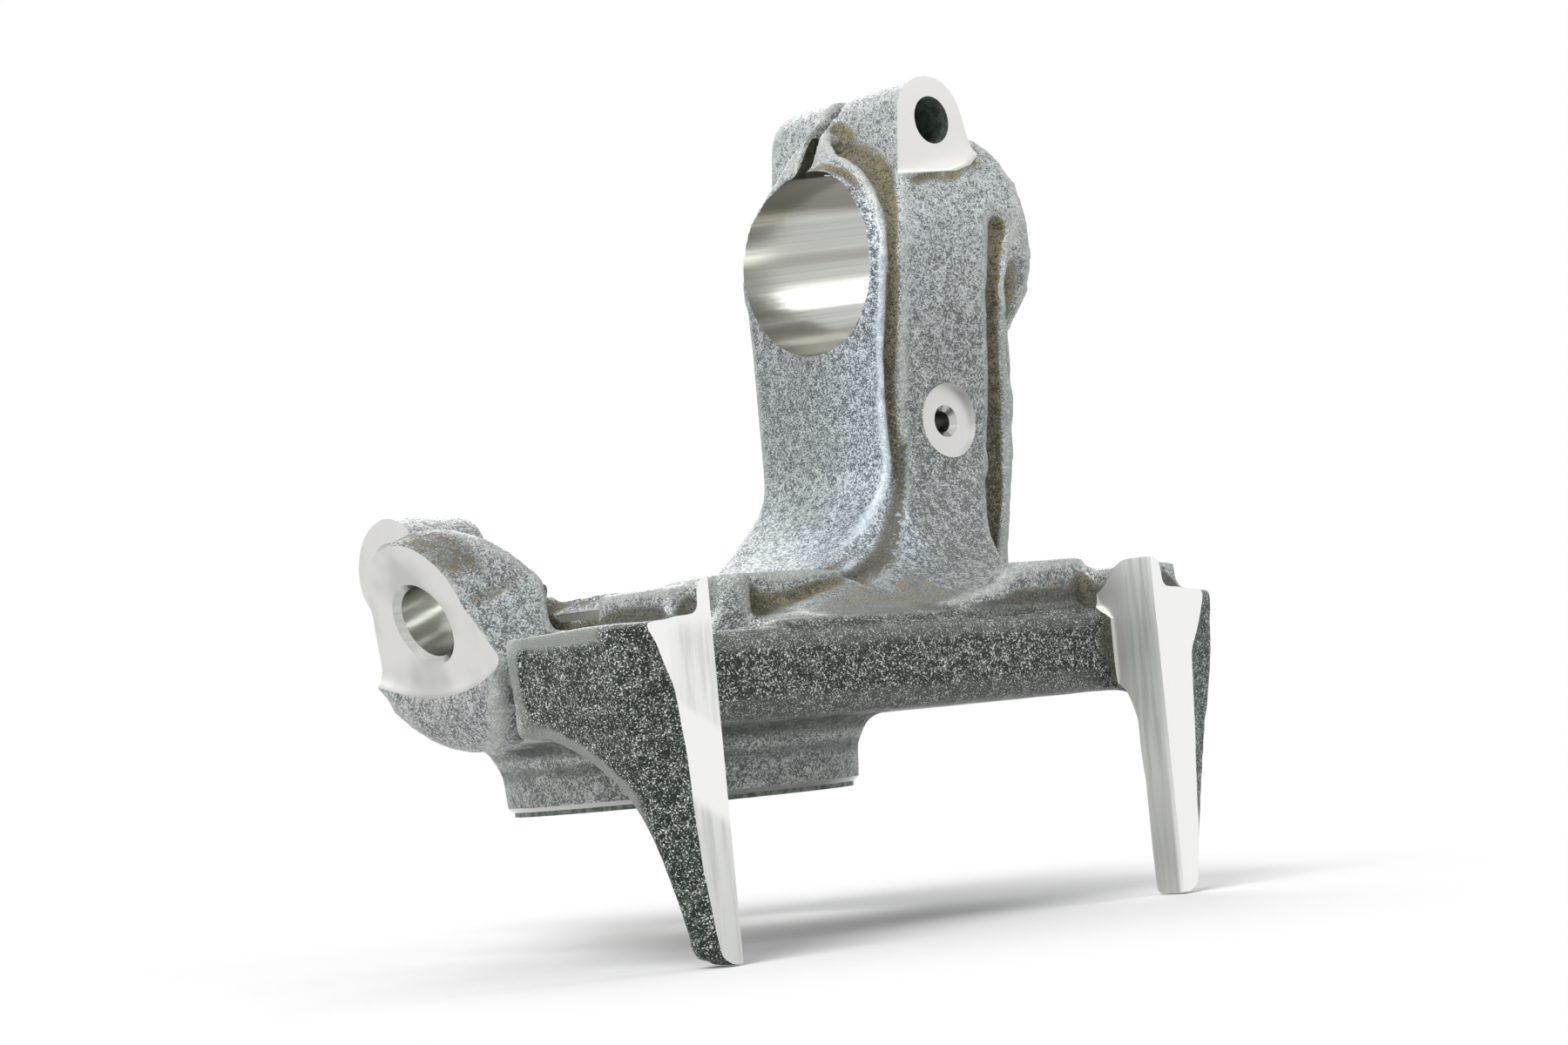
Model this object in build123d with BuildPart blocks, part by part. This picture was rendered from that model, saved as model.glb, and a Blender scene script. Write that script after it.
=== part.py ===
from build123d import *
import os
from math import cos, radians, sin, tan

# Steering knuckle with an integral brake carrier, one machined iron casting.
# Frame: origin on the wheel axis at the outboard shoulder of the hub barrel,
# +Z along the wheel axis towards the inboard side, +X towards the strut clamp,
# -Y towards the brake, +Y towards the steering arm. Millimetres.

# --- hub barrel and wheel bearing bore
BORE_R = 37.5
BARREL_R = 45.4
BARREL_DRAFT = 5.0
RIM_R = 47.4
RIM_Z = 54.0
SPIGOT_R = 43.8
SPIGOT_H = 1.2
BARREL_CHAMFER = 1.2
NECK_R = 34.5
NECK_Z = 48.5
CIRCLIP_R = 39.6
CIRCLIP_Z = 3.0
CIRCLIP_W = 2.2
RIM_BULGE = (-19, -43.5)
RIM_BULGE_R = 6.5
NOTCH_FLOOR = 43.5

# --- body web and brake-side beam
BEAM_Y = -85.0
BEAM_BOTTOM = 17.0
BEAM_TOP = 38.5
WEB_FLOOR = 29.0
WALL = 11.0
ROOT_R = 6.0
ROOT_MID = ROOT_R * (1 - sin(radians(45)))
BEAM_ROUND = 5.0
FOOT_STEP = 5.0
FOOT_Z = 40.0
FOOT_END_X = -36.0
CORNER_R = 7.0
GUSSET_BACK = -60.0
BODY_OUTLINE = (
    (-88, BEAM_Y),
    (88, BEAM_Y),
    (99, GUSSET_BACK),
    (104, -30),
    (104, 18),
    (70, 34),
    (20, 46),
    (-24, 46),
    (-46, 24),
    (-62, -20),
    (-99, GUSSET_BACK),
)

# --- brake carrier arms, mirrored about the YZ plane
GUIDE_X = 74.3
FACE_Y = -101.0
TIP_Z = -34.0
GUIDE_DEPTH = 9.5
EDGE_DEPTH = 3.0
RAIL_TOP = 48.0
RAIL_W = 11.0
RAIL_BACK = -76.0
RAIL_INNER_BACK = -63.0
RAIL_FOOT = 36.0

# --- strut clamp
CLAMP_R = 25.0
CLAMP_TILT = 7.1
CLAMP_FACE_X = 60.0
CLAMP_Y = -3.0
CLAMP_Z = 140.7
CLAMP_LENGTH = 54.7
COLLAR_FRONT_R = 28.4
COLLAR_BACK_R = 33.3
SLOT_W = 5.5
SLOT_Y = 1.0
CLAMP_LEAN = ((CLAMP_FACE_X, 140), (62.5, 160), (64.5, 168), (69, 177.5))

# --- pinch bolt boss over the clamp
PINCH_X = 88.7
PINCH_Z = 177.6
PINCH_HOLE_R = 6.5
PINCH_R = 12.4
PINCH_EAR_X = 75.4
PINCH_CUTTER_R = 14.5
PINCH_FACE_Y = -26.8
PINCH_BACK_Y = 27.0

# --- strut arm between body and clamp
ARM_SIDE_Y = -26.0
ARM_BACK_Y = 21.0
ARM_BACK_X = 113.0
FLANGE_FRONT_Y = -26.0
FLANGE_BACK_Y = 25.0
CHANNEL_DEPTH = 3.5
SWELL_FRONT_X = 65.0
SWELL_BACK_X = 111.0
SWELL_GROW = 5.1
GROOVE_CORE_R = 26.9
BRACKET_X = 84.3
BRACKET_Z = 94.2
BRACKET_SEAT_R = 10.2
BRACKET_HOLE_R = 2.9
BRACKET_DEPTH = 16.0

# --- ball joint lug
BALL_X = -78.0
BALL_Z = 48.0
BALL_TILT = 22.0
BALL_R = 8.9
BALL_SEAT_R = 60.0
BALL_SEAT_DROP = 18.0

# --- steering arm
TIE_X = -25.0
TIE_Y = 86.0
TIE_Z = 68.5
TIE_BOSS_R = 14.3
TIE_BOSS_L = 24.0
TIE_HOLE_R = 6.5


def clamp_plane(distance):
    """Plane across the strut axis, a distance behind the clamp's front face."""
    tilt = radians(CLAMP_TILT)
    axis = Vector(cos(tilt), 0, sin(tilt))
    start = Vector(CLAMP_FACE_X, CLAMP_Y, CLAMP_Z)
    return Plane(origin=start + axis * distance, x_dir=(0, 1, 0), z_dir=axis)


def ball_plane(distance):
    """Plane across the ball joint bore, a distance into the lug from its face."""
    tilt = radians(BALL_TILT)
    axis = Vector(cos(tilt), 0, sin(tilt))
    start = Vector(BALL_X, 0, BALL_Z)
    return Plane(origin=start + axis * distance, x_dir=(0, 1, 0), z_dir=axis)


# ---------------------------------------------------------------- hub barrel
drafted = BARREL_R + tan(radians(BARREL_DRAFT)) * BEAM_BOTTOM
with BuildPart() as hub:
    with BuildSketch(Plane.XZ):
        with BuildLine():
            Polyline(
                (0, -SPIGOT_H),
                (SPIGOT_R, -SPIGOT_H),
                (SPIGOT_R, 0),
                (BARREL_R - BARREL_CHAMFER, 0),
                (BARREL_R, BARREL_CHAMFER),
                (drafted, BEAM_BOTTOM + 5),
                (RIM_R, RIM_Z),
                (0, RIM_Z),
                close=True,
            )
        make_face()
    revolve(axis=Axis.Z)
    # cast thickening down the front of the rim
    with BuildSketch(Plane.XY.offset(BEAM_BOTTOM)):
        with Locations(RIM_BULGE):
            Circle(RIM_BULGE_R)
    extrude(amount=RIM_Z - BEAM_BOTTOM)

# ------------------------------------------------- body web and brake beam
with BuildPart() as body:
    with BuildSketch(Plane.XY.offset(BEAM_BOTTOM)):
        with BuildLine():
            Polyline(*BODY_OUTLINE, close=True)
        make_face()
    extrude(amount=BEAM_TOP - BEAM_BOTTOM)
    rim_corners = body.edges().filter_by(Axis.Z).group_by(Axis.Y)[2:]
    fillet([edge for group in rim_corners for edge in group], radius=CORNER_R)
    beam_edges = body.faces().sort_by(Axis.Y)[0].edges().sort_by(Axis.Z)
    fillet([beam_edges[0], beam_edges[-1]], radius=BEAM_ROUND)

# cast flare where the barrel leaves the underside of the body
with BuildPart() as flare:
    with BuildSketch(Plane.XY.offset(BEAM_BOTTOM - ROOT_R)):
        with BuildLine():
            Polyline(*BODY_OUTLINE, close=True)
        make_face()
    extrude(amount=ROOT_R + 1)
    with BuildSketch(Plane.XZ):
        with BuildLine():
            Polyline(
                (0, BEAM_BOTTOM - ROOT_R),
                (drafted, BEAM_BOTTOM - ROOT_R),
                (drafted + ROOT_MID, BEAM_BOTTOM - ROOT_MID),
                (drafted + ROOT_R, BEAM_BOTTOM),
                (drafted + ROOT_R, BEAM_BOTTOM + 1),
                (0, BEAM_BOTTOM + 1),
                close=True,
            )
        make_face()
    revolve(axis=Axis.Z, mode=Mode.INTERSECT)

# ------------------------------------------------------ brake carrier arm
with BuildPart() as carrier:
    # machined front face, flaring back to the cast outside of the gusset
    with BuildSketch(Plane.XZ.offset(-FACE_Y)):
        with BuildLine():
            Polyline(
                (GUIDE_X, TIP_Z),
                (80, TIP_Z),
                (82.6, -18),
                (84.6, 4.7),
                (86.5, 25.5),
                (92.4, 40.5),
                (GUIDE_X, 40.5),
                close=True,
            )
        make_face()
    with BuildSketch(Plane.XZ.offset(-FACE_Y - EDGE_DEPTH)):
        with BuildLine():
            Polyline(
                (GUIDE_X, TIP_Z),
                (81.5, TIP_Z),
                (87, -17),
                (93.2, 4),
                (98.6, 22),
                (101, 40.5),
                (GUIDE_X, 40.5),
                close=True,
            )
        make_face()
    loft(ruled=True)
    extrude(faces().sort_by(Axis.Y)[-1], amount=GUSSET_BACK - FACE_Y - EDGE_DEPTH)
    with BuildSketch(Plane.YZ.offset(GUIDE_X - 5)):
        with BuildLine():
            Polyline((-93, TIP_Z), (FACE_Y, TIP_Z), (FACE_Y, 41), (GUSSET_BACK, 40))
            Spline(
                (GUSSET_BACK, 40),
                (-65, 26),
                (-74.5, 16.6),
                (-84.5, 9),
                (-91.5, -5),
                (-93, TIP_Z),
                tangents=((-0.2, -1), (0, -1)),
            )
        make_face()
    extrude(amount=40, mode=Mode.INTERSECT)
    # the gusset thins towards its back edge
    with BuildSketch(Plane.XY.offset(TIP_Z - 1)):
        with BuildLine():
            Polyline(
                (GUIDE_X - 2, FACE_Y + GUIDE_DEPTH),
                (GUIDE_X + 1, FACE_Y + GUIDE_DEPTH),
                (94, -71.5),
                (94, GUSSET_BACK + 1),
                (GUIDE_X - 2, GUSSET_BACK + 1),
                close=True,
            )
        make_face()
    extrude(amount=BEAM_BOTTOM - TIP_Z + 1, mode=Mode.SUBTRACT)
    # raised rail at the inboard end of the pad guide
    with BuildSketch(Plane.XY.offset(RAIL_FOOT)):
        with BuildLine():
            Polyline(
                (GUIDE_X, FACE_Y + 1),
                (GUIDE_X + RAIL_W, FACE_Y + 1),
                (GUIDE_X + RAIL_W, RAIL_BACK),
                (GUIDE_X, RAIL_INNER_BACK),
                close=True,
            )
        make_face()
    extrude(amount=RAIL_TOP - RAIL_FOOT)

# ------------------------------------------------------------- strut arm
with BuildPart() as arm:
    with BuildSketch(Plane.XZ.offset(-ARM_SIDE_Y)):
        with BuildLine():
            Polyline(
                (15, 46),
                (15, 20),
                (104, 20),
                (104, 56),
                (110.5, 85),
                (ARM_BACK_X, 112),
                (ARM_BACK_X, 150),
                (103, 172),
                (78, 172),
                (67, 150),
                (66, 90),
            )
            Spline((66, 90), (55, 66), (38, 54), (15, 46), tangents=((0, -1), (-1, -0.25)))
        make_face()
    extrude(amount=ARM_SIDE_Y - ARM_BACK_Y)
    # channel down the far side, between the web of the arm and its back flange
    with BuildSketch(Plane.XZ.offset(-ARM_BACK_Y)):
        with BuildLine():
            Spline((90, 46), (97, 66), (101.5, 90), (103.5, 115), (104, 146))
            ThreePointArc((104, 146), (107, 149.5), (110, 146))
            Spline((110, 146), (109.6, 115), (107, 88), (102, 64), (95, 44))
            Line((95, 44), (90, 46))
        make_face()
    extrude(amount=CHANNEL_DEPTH, mode=Mode.SUBTRACT)

# sides of the arm swelling out to meet the collar of the clamp
with BuildPart() as swell:
    for start_x, grow in ((SWELL_FRONT_X, 0), (SWELL_BACK_X, SWELL_GROW)):
        with BuildSketch(Plane.YZ.offset(start_x)):
            with BuildLine():
                Polyline(
                    (ARM_SIDE_Y + 1, 88),
                    (ARM_SIDE_Y - 1.2 - 0.4 * grow, 108),
                    (ARM_SIDE_Y - 4 - 0.9 * grow, 124),
                    (CLAMP_Y - COLLAR_FRONT_R - grow, 138),
                    (10, 138),
                    (10, 88),
                    close=True,
                )
            make_face()
    loft(ruled=True)
    with BuildSketch(Plane.XZ.offset(50)):
        with BuildLine():
            Polyline(
                (60, 86),
                (60, 140),
                (103.8, 140),
                (104, 130),
                (105.8, 116),
                (110, 101.6),
                (110, 86),
                close=True,
            )
        make_face()
    extrude(amount=-70, mode=Mode.INTERSECT)

# channel down the near side, up into a rounded pocket in the collar
with BuildPart() as channel:
    with BuildSketch(Plane.XZ.offset(50)):
        with BuildLine():
            Spline(
                (99.4, 146),
                (98.2, 138),
                (97.4, 126),
                (98.8, 116),
                (100.8, 101.6),
                (99.5, 84.6),
                (97.0, 75),
                (93.0, 65.4),
                (86, 48),
            )
            Polyline((86, 48), (94.5, 46))
            Spline(
                (94.5, 46),
                (98.8, 56),
                (102.4, 65.4),
                (106, 84.6),
                (106, 101.6),
                (103.4, 116),
                (102.2, 128),
                (103.4, 137),
                (106, 146),
            )
            ThreePointArc((106, 146), (103, 150), (99.4, 146))
        make_face()
    extrude(amount=-30)
    with BuildSketch(Plane.YZ.offset(80)):
        with BuildLine():
            Polyline(
                (ARM_SIDE_Y + CHANNEL_DEPTH, 40),
                (ARM_SIDE_Y + CHANNEL_DEPTH, 92),
                (ARM_SIDE_Y, 108),
                (ARM_SIDE_Y - 4, 124),
                (ARM_SIDE_Y - 6, 138),
                (ARM_SIDE_Y - 6, 152),
                (0, 152),
                (0, 40),
                close=True,
            )
        make_face()
    extrude(amount=40, mode=Mode.SUBTRACT)

# flange along the front of the arm, swept out over the hub rim at its foot
with BuildPart() as flange:
    with BuildSketch(Plane.XZ.offset(50)):
        with BuildLine():
            Polyline((CLAMP_FACE_X, 83), *CLAMP_LEAN, (76, 183.5))
            Polyline((76, 183.5), (76, 172), (70, 165), (66.5, 150), (65, 90))
            Spline((65, 90), (59, 70), (44, 57), (30, 50), tangents=((0, -1), (-1, -0.3)))
            Line((30, 50), (22, RIM_Z))
            Spline((22, RIM_Z), (40, 60), (52, 70), (CLAMP_FACE_X, 83), tangents=((1, 0.1), (0.2, 1)))
        make_face()
    extrude(amount=-100)
    with BuildSketch(Plane.YZ.offset(10)):
        with BuildLine():
            Polyline(
                (25.3, CLAMP_Z),
                (FLANGE_BACK_Y - 0.6, 118),
                (FLANGE_BACK_Y, 40),
                (FLANGE_FRONT_Y, 40),
                (FLANGE_FRONT_Y, 100),
                (FLANGE_FRONT_Y - 2, 118),
                (-32, CLAMP_Z),
            )
            Spline(
                (-32, CLAMP_Z),
                (-30.3, 149),
                (-25.5, 157),
                (-19, 163.8),
                (-12.5, 168.8),
                (-7.5, 174.7),
                (-2.5, 177.5),
            )
            Polyline((-2.5, 177.5), (-2.5, 184), (4.5, 184), (4.5, 177.5))
            Spline(
                (4.5, 177.5),
                (9, 172.2),
                (12.5, 166.8),
                (17.5, 160.3),
                (22, 151.3),
                (25.3, CLAMP_Z),
            )
        make_face()
    extrude(amount=80, mode=Mode.INTERSECT)

# rounded groove that sets the flange off from the arm and the collar
with BuildPart() as groove:
    with BuildSketch(Plane.XZ.offset(60)):
        with BuildLine():
            Spline((24.5, 52), (40.5, 58.5), (53, 69), (62, 84), tangents=((1, 0.3), (0.2, 1)))
            Polyline((62, 84), (62, 140), (64.6, 160), (66.6, 168), (71, 179.3))
            Polyline((71, 179.3), (PINCH_EAR_X + 0.2, 179.3), (73, 159), (69.6, 152), (66.8, 140), (66.2, 90))
            Spline((66.2, 90), (60, 71.5), (45, 57), (27, 47.5), tangents=((0, -1), (-1, -0.4)))
            Line((27, 47.5), (24.5, 52))
        make_face()
    extrude(amount=-54.5)
    with BuildSketch(Plane.YZ.offset(10)):
        with BuildLine():
            Polyline(
                (10, 142),
                (10, 30),
                (-60, 30),
                (-55, 43),
                (-34.5, 51),
                (-25.5, 68),
                (-23, 92),
                (-24, 112),
                (-27, 124),
                (CLAMP_Y - GROOVE_CORE_R, CLAMP_Z),
                close=True,
            )
        make_face()
    extrude(amount=80, mode=Mode.SUBTRACT)
    with BuildSketch(clamp_plane(-20)):
        Circle(GROOVE_CORE_R)
    extrude(amount=60, mode=Mode.SUBTRACT)

# buttress running from the side of the arm down to the beam, and along behind its top
foot = BEAM_Y + FOOT_STEP
with BuildPart() as buttress:
    with BuildSketch(Plane.YZ.offset(FOOT_END_X)):
        with BuildLine():
            Polyline((foot, FOOT_Z), (foot, 20), (-20, 20), (-20, 92), (ARM_SIDE_Y, 92))
            Spline(
                (ARM_SIDE_Y, 92),
                (-29, 72),
                (-40, 55),
                (-60, 44),
                (foot, FOOT_Z),
                tangents=((0, -1), (-1, -0.15)),
            )
        make_face()
    extrude(amount=104 - FOOT_END_X)
    with BuildSketch(Plane.XZ.offset(100)):
        with BuildLine():
            Polyline((FOOT_END_X, FOOT_Z), (FOOT_END_X, 20), (98, 20), (104, 56), (104, 92), (66, 92))
            Spline(
                (66, 92),
                (60, 74),
                (44, 60),
                (18, 50),
                (-8, 44),
                (FOOT_END_X, FOOT_Z),
                tangents=((0, -1), (-1, -0.1)),
            )
        make_face()
    extrude(amount=-100, mode=Mode.INTERSECT)
    with BuildSketch(Plane.XY):
        with BuildLine():
            Polyline(
                (FOOT_END_X, -90),
                (FOOT_END_X, 10),
                (103, 10),
                (100, ARM_SIDE_Y),
                (82, -48),
                (66, -90),
                close=True,
            )
        make_face()
    extrude(amount=100, mode=Mode.INTERSECT)

# ----------------------------------------------------------- strut clamp
with BuildPart() as clamp:
    with BuildSketch(clamp_plane(-8)):
        Circle(COLLAR_FRONT_R - 0.6)
    with BuildSketch(clamp_plane(CLAMP_LENGTH)):
        Circle(COLLAR_BACK_R)
    loft()
    # front of the collar leans back over its upper half
    with BuildSketch(Plane.XZ.offset(50)):
        with BuildLine():
            Polyline((CLAMP_FACE_X, 90), *CLAMP_LEAN, (69, 190), (40, 190), (40, 90), close=True)
        make_face()
    extrude(amount=-100, mode=Mode.SUBTRACT)

with BuildPart() as pinch:
    with BuildSketch(Plane.XZ.offset(-PINCH_FACE_Y)):
        with BuildLine():
            Polyline(
                (PINCH_EAR_X, PINCH_Z + 2),
                (72.3, 156),
                (107, 156),
                (PINCH_X + PINCH_R - 0.6, PINCH_Z + 3),
            )
            ThreePointArc(
                (PINCH_X + PINCH_R - 0.6, PINCH_Z + 3),
                (PINCH_X, PINCH_Z + PINCH_R),
                (PINCH_EAR_X, PINCH_Z + 2),
            )
        make_face()
    extrude(amount=PINCH_FACE_Y - PINCH_BACK_Y)
    chamfer(pinch.faces().sort_by(Axis.Y)[-1].edges().sort_by(Axis.Z)[1:], length=3)

# --------------------------------------------------------- ball joint lug
with BuildPart() as lug:
    with BuildSketch(ball_plane(-8)):
        with BuildLine():
            Polyline((-18, 3), (-24.5, -12), (-24.5, -40), (24.5, -40), (24.5, -12), (18, 5))
            ThreePointArc((18, 5), (0, 21), (-18, 3))
        make_face()
    extrude(amount=60)
    with BuildSketch(Plane.XZ.offset(40)):
        with BuildLine():
            Polyline((-30, 16), (-62, 16))
            Spline((-62, 16), (-68, 19), (-72.5, 25), (-75, 31.5), tangents=((-1, 0), (-0.2, 1)))
            Polyline((-75, 31.5), (-82, 42), (-92, 66), (-88, 68.5))
            Spline(
                (-88, 68.5),
                (-80, 71.2),
                (-72.5, 70.3),
                (-63.5, 64.8),
                (-56, 58.5),
                (-44, 51),
                tangents=((1, 0.5), (1, -0.4)),
            )
            Polyline((-44, 51), (-30, 50), (-30, 16))
        make_face()
    extrude(amount=-80, mode=Mode.INTERSECT)
    # round underside
    with BuildSketch(Plane.YZ.offset(-100)):
        with BuildLine():
            ThreePointArc((-24.6, 36), (0, 15.6), (24.6, 36))
            Polyline((24.6, 36), (24.6, 80), (-24.6, 80), (-24.6, 36))
        make_face()
    extrude(amount=80, mode=Mode.INTERSECT)

# ------------------------------------------------------------ steering arm
with BuildPart() as steering:
    with BuildSketch(Plane.YZ.offset(TIE_X + 2)):
        with BuildLine():
            Polyline(
                (30, 20), (48, 20), (70, 38), (TIE_Y + 8, TIE_Z - 10), (TIE_Y + 6, TIE_Z + 10),
                (TIE_Y - 8, TIE_Z + 11), (62, 58), (46, 46), (30, 46), close=True,
            )
        make_face()
    extrude(amount=19)
    fillet(steering.edges().filter_by(Axis.X), radius=4)
    with BuildSketch(Plane.YZ.offset(TIE_X)):
        with Locations((TIE_Y, TIE_Z)):
            Circle(TIE_BOSS_R)
    extrude(amount=TIE_BOSS_L)

# ------------------------------------------------------- calliper pin boss
with BuildPart() as pin_boss:
    with BuildSketch(Plane.XY.offset(30)):
        with Locations((67, -70), (59.5, -70.5)):
            Circle(7.5)
    extrude(amount=51.5 - 30, taper=2)
    with BuildSketch(Plane.XZ.offset(78)):
        with BuildLine():
            Polyline(
                (24, 36),
                (24.5, 41.8),
                (44, 46.4),
                (48, 50),
                (58, 51),
                (76, 51.6),
                (76, 36),
                close=True,
            )
        make_face()
    extrude(amount=-8)

# ----------------------------------------------------------- whole casting
with BuildPart() as knuckle:
    add(hub.part)
    add(body.part)
    add(flare.part)
    add(carrier.part)
    add(mirror(carrier.part, about=Plane.YZ))
    add(arm.part)
    add(swell.part)
    add(flange.part)
    add(buttress.part)
    add(clamp.part)
    add(pinch.part)
    add(lug.part)
    add(steering.part)
    add(pin_boss.part)
    add(groove.part, mode=Mode.SUBTRACT)
    add(channel.part, mode=Mode.SUBTRACT)

    # pocket between beam, hub and the left gusset on the inboard side
    with BuildSketch(Plane.XY.offset(WEB_FLOOR)):
        with BuildLine():
            Polyline(
                (-84, BEAM_Y + WALL),
                (-14, BEAM_Y + WALL),
                (-14, -52),
                (-52, -27),
                (-60, -27),
                (-84, -54),
                close=True,
            )
        make_face()
        fillet(vertices(), radius=6)
    extrude(amount=30, mode=Mode.SUBTRACT)

    # clearance through the rim beside the ball joint lug
    with BuildSketch(Plane.XY.offset(NOTCH_FLOOR)):
        with BuildLine():
            Polyline(
                (-10, -10),
                (-29, -60),
                (-66, -60),
                (-58, -25),
                (-53, -16),
                (-46.5, -8.5),
                (-33.5, 8),
                (-20, 6),
                close=True,
            )
        make_face()
    extrude(amount=30, mode=Mode.SUBTRACT)

    # wheel bearing bore, its inboard neck and circlip groove
    with BuildSketch(Plane.XY.offset(-SPIGOT_H)):
        Circle(BORE_R)
    extrude(amount=NECK_Z + SPIGOT_H, mode=Mode.SUBTRACT)
    with BuildSketch(Plane.XY.offset(NECK_Z - 1)):
        Circle(NECK_R)
    extrude(amount=30, mode=Mode.SUBTRACT)
    with BuildSketch(Plane.XY.offset(CIRCLIP_Z)):
        Circle(CIRCLIP_R)
    extrude(amount=CIRCLIP_W, mode=Mode.SUBTRACT)

    # strut clamp bore and slot
    with BuildSketch(clamp_plane(-30)):
        Circle(CLAMP_R)
    extrude(amount=120, mode=Mode.SUBTRACT)
    with BuildSketch(Plane.XZ.offset(-SLOT_Y + SLOT_W / 2)):
        with BuildLine():
            Polyline((50, 141), (50, 200), (130, 200), (130, 150), close=True)
        make_face()
    extrude(amount=-SLOT_W, mode=Mode.SUBTRACT)

    # pinch bolt hole and its machined seat
    with BuildSketch(Plane.XZ.offset(50)):
        with Locations((PINCH_X, PINCH_Z)):
            Circle(PINCH_HOLE_R)
    extrude(amount=-100, mode=Mode.SUBTRACT)
    with BuildSketch(Plane.XZ.offset(-PINCH_FACE_Y)):
        with Locations((PINCH_X, PINCH_Z)):
            Circle(PINCH_CUTTER_R)
    extrude(amount=10, mode=Mode.SUBTRACT)

    # bracket hole and seat on the side of the arm
    with BuildSketch(Plane.XZ.offset(-ARM_SIDE_Y - 0.8)):
        with Locations((BRACKET_X, BRACKET_Z)):
            Circle(BRACKET_SEAT_R)
    extrude(amount=20, mode=Mode.SUBTRACT)
    with BuildSketch(Plane.XZ.offset(-ARM_SIDE_Y)):
        with Locations((BRACKET_X, BRACKET_Z)):
            Circle(BRACKET_HOLE_R)
    extrude(amount=-BRACKET_DEPTH, mode=Mode.SUBTRACT)

    # ball joint seat and bore
    with BuildSketch(ball_plane(0)):
        with Locations((0, BALL_SEAT_R - BALL_SEAT_DROP)):
            Circle(BALL_SEAT_R)
    extrude(amount=-12, mode=Mode.SUBTRACT)
    with BuildSketch(ball_plane(-5)):
        Circle(BALL_R)
    extrude(amount=60, mode=Mode.SUBTRACT)

    # tie rod hole
    with BuildSketch(Plane.YZ.offset(TIE_X - 5)):
        with Locations((TIE_Y, TIE_Z)):
            Circle(TIE_HOLE_R)
    extrude(amount=40, mode=Mode.SUBTRACT)

knuckle.part.label = "knuckle_casting"
os.makedirs("parts", exist_ok=True)
export_step(knuckle.part, "parts/knuckle_casting.step")
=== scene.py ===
"""Steering knuckle: a sand-cast iron casting with milled seats and bored holes.

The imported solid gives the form. A copy of it gets machining stock on every seat, is remeshed and
softened into a rough cast blank, and is then milled, bored and slotted back to its finished size.
"""

import logging
import math
from dataclasses import dataclass
from enum import Enum

import bmesh
import bpy
import numpy as np
from mathutils import Matrix, Vector, kdtree, noise


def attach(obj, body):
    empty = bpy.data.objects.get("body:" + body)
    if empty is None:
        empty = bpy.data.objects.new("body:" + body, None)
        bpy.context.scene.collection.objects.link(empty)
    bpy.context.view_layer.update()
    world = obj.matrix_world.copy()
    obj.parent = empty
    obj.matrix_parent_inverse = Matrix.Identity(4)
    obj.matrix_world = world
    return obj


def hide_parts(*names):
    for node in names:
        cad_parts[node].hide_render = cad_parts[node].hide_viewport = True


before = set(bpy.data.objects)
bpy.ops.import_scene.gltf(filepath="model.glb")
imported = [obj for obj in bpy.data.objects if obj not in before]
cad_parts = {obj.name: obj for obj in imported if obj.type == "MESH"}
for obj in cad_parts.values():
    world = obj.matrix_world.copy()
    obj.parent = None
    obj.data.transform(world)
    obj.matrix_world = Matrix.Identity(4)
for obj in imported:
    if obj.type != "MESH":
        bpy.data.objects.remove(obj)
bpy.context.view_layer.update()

MM = 0.001
NODE = "knuckle_casting"
BODY = "root"
X_AXIS, Y_AXIS = Vector((1, 0, 0)), Vector((0, 1, 0))
HUB_AXIS = Matrix.Identity(4)

# places that several features or finishes share, in millimetres
GUIDE_X = 74.3
FACE_Y = -101.0
CLAMP_FACE = (60, -3, 140.7)
CLAMP_TILT = math.radians(7.1)

# how much wider a bore is cut than the solid's own, and how far a cutter starts outside its face
OVERCUT = 0.12
RUN_OUT = 14.0
BAR_RUN_OUT = 12.0

Solid = bmesh.types.BMesh
Socket = bpy.types.NodeSocket
Value = float | Socket
Point = tuple[float, float, float]
Outline = tuple[tuple[float, float], ...]
Colour = tuple[float, float, float, float]
Sides = tuple[tuple[str, float, float], ...]

log = logging.getLogger("steering_knuckle")


class Finish(Enum):
    """The finishes on the casting, in the order of its material slots."""

    CAST = 0
    MILLED = 1
    BORED = 2
    SAWN = 3
    # dark finish of the pinch bolt's hole, also painted shade on the spigot's wall
    OILED_AND_SHADED = 4


# ------------------------------------------------------------------ shapes


def along(origin: Vector, axis: Vector) -> Matrix:
    """Placement of a shape made about +Z onto a line, both in millimetres.

    Args:
        origin: where the shape's own origin goes.
        axis: the direction that its +Z points in.

    Returns:
        A 4x4 placement.
    """
    turn = axis.normalized().to_track_quat("Z", "Y")
    return Matrix.Translation(origin) @ turn.to_matrix().to_4x4()


def turned(profile: Outline, place: Matrix, steps: int = 96) -> Solid:
    """Solid of revolution from a profile that starts and ends on the axis.

    Args:
        profile: radius and height pairs, in millimetres, from the low end to the high end.
        place: where the shape goes.
        steps: facets round the axis.

    Returns:
        A closed bmesh in millimetres.
    """
    bm = bmesh.new()
    points = [bm.verts.new((radius, 0, height)) for radius, height in profile]
    edges = [bm.edges.new(pair) for pair in zip(points, points[1:])]
    bmesh.ops.spin(
        bm, geom=points + edges, cent=(0, 0, 0), axis=(0, 0, 1), angle=math.tau, steps=steps, use_merge=True
    )
    bmesh.ops.remove_doubles(bm, verts=bm.verts, dist=1e-4)
    bmesh.ops.recalc_face_normals(bm, faces=bm.faces)
    bmesh.ops.transform(bm, matrix=place, verts=bm.verts)
    return bm


def rod(radius: float, low: float, high: float, place: Matrix) -> Solid:
    """Plain round bar about a line.

    Args:
        radius: its radius in millimetres.
        low: where it starts along the line.
        high: where it ends.
        place: the line.

    Returns:
        A closed bmesh in millimetres.
    """
    return turned(((0, low), (radius, low), (radius, high), (0, high)), place)


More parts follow.
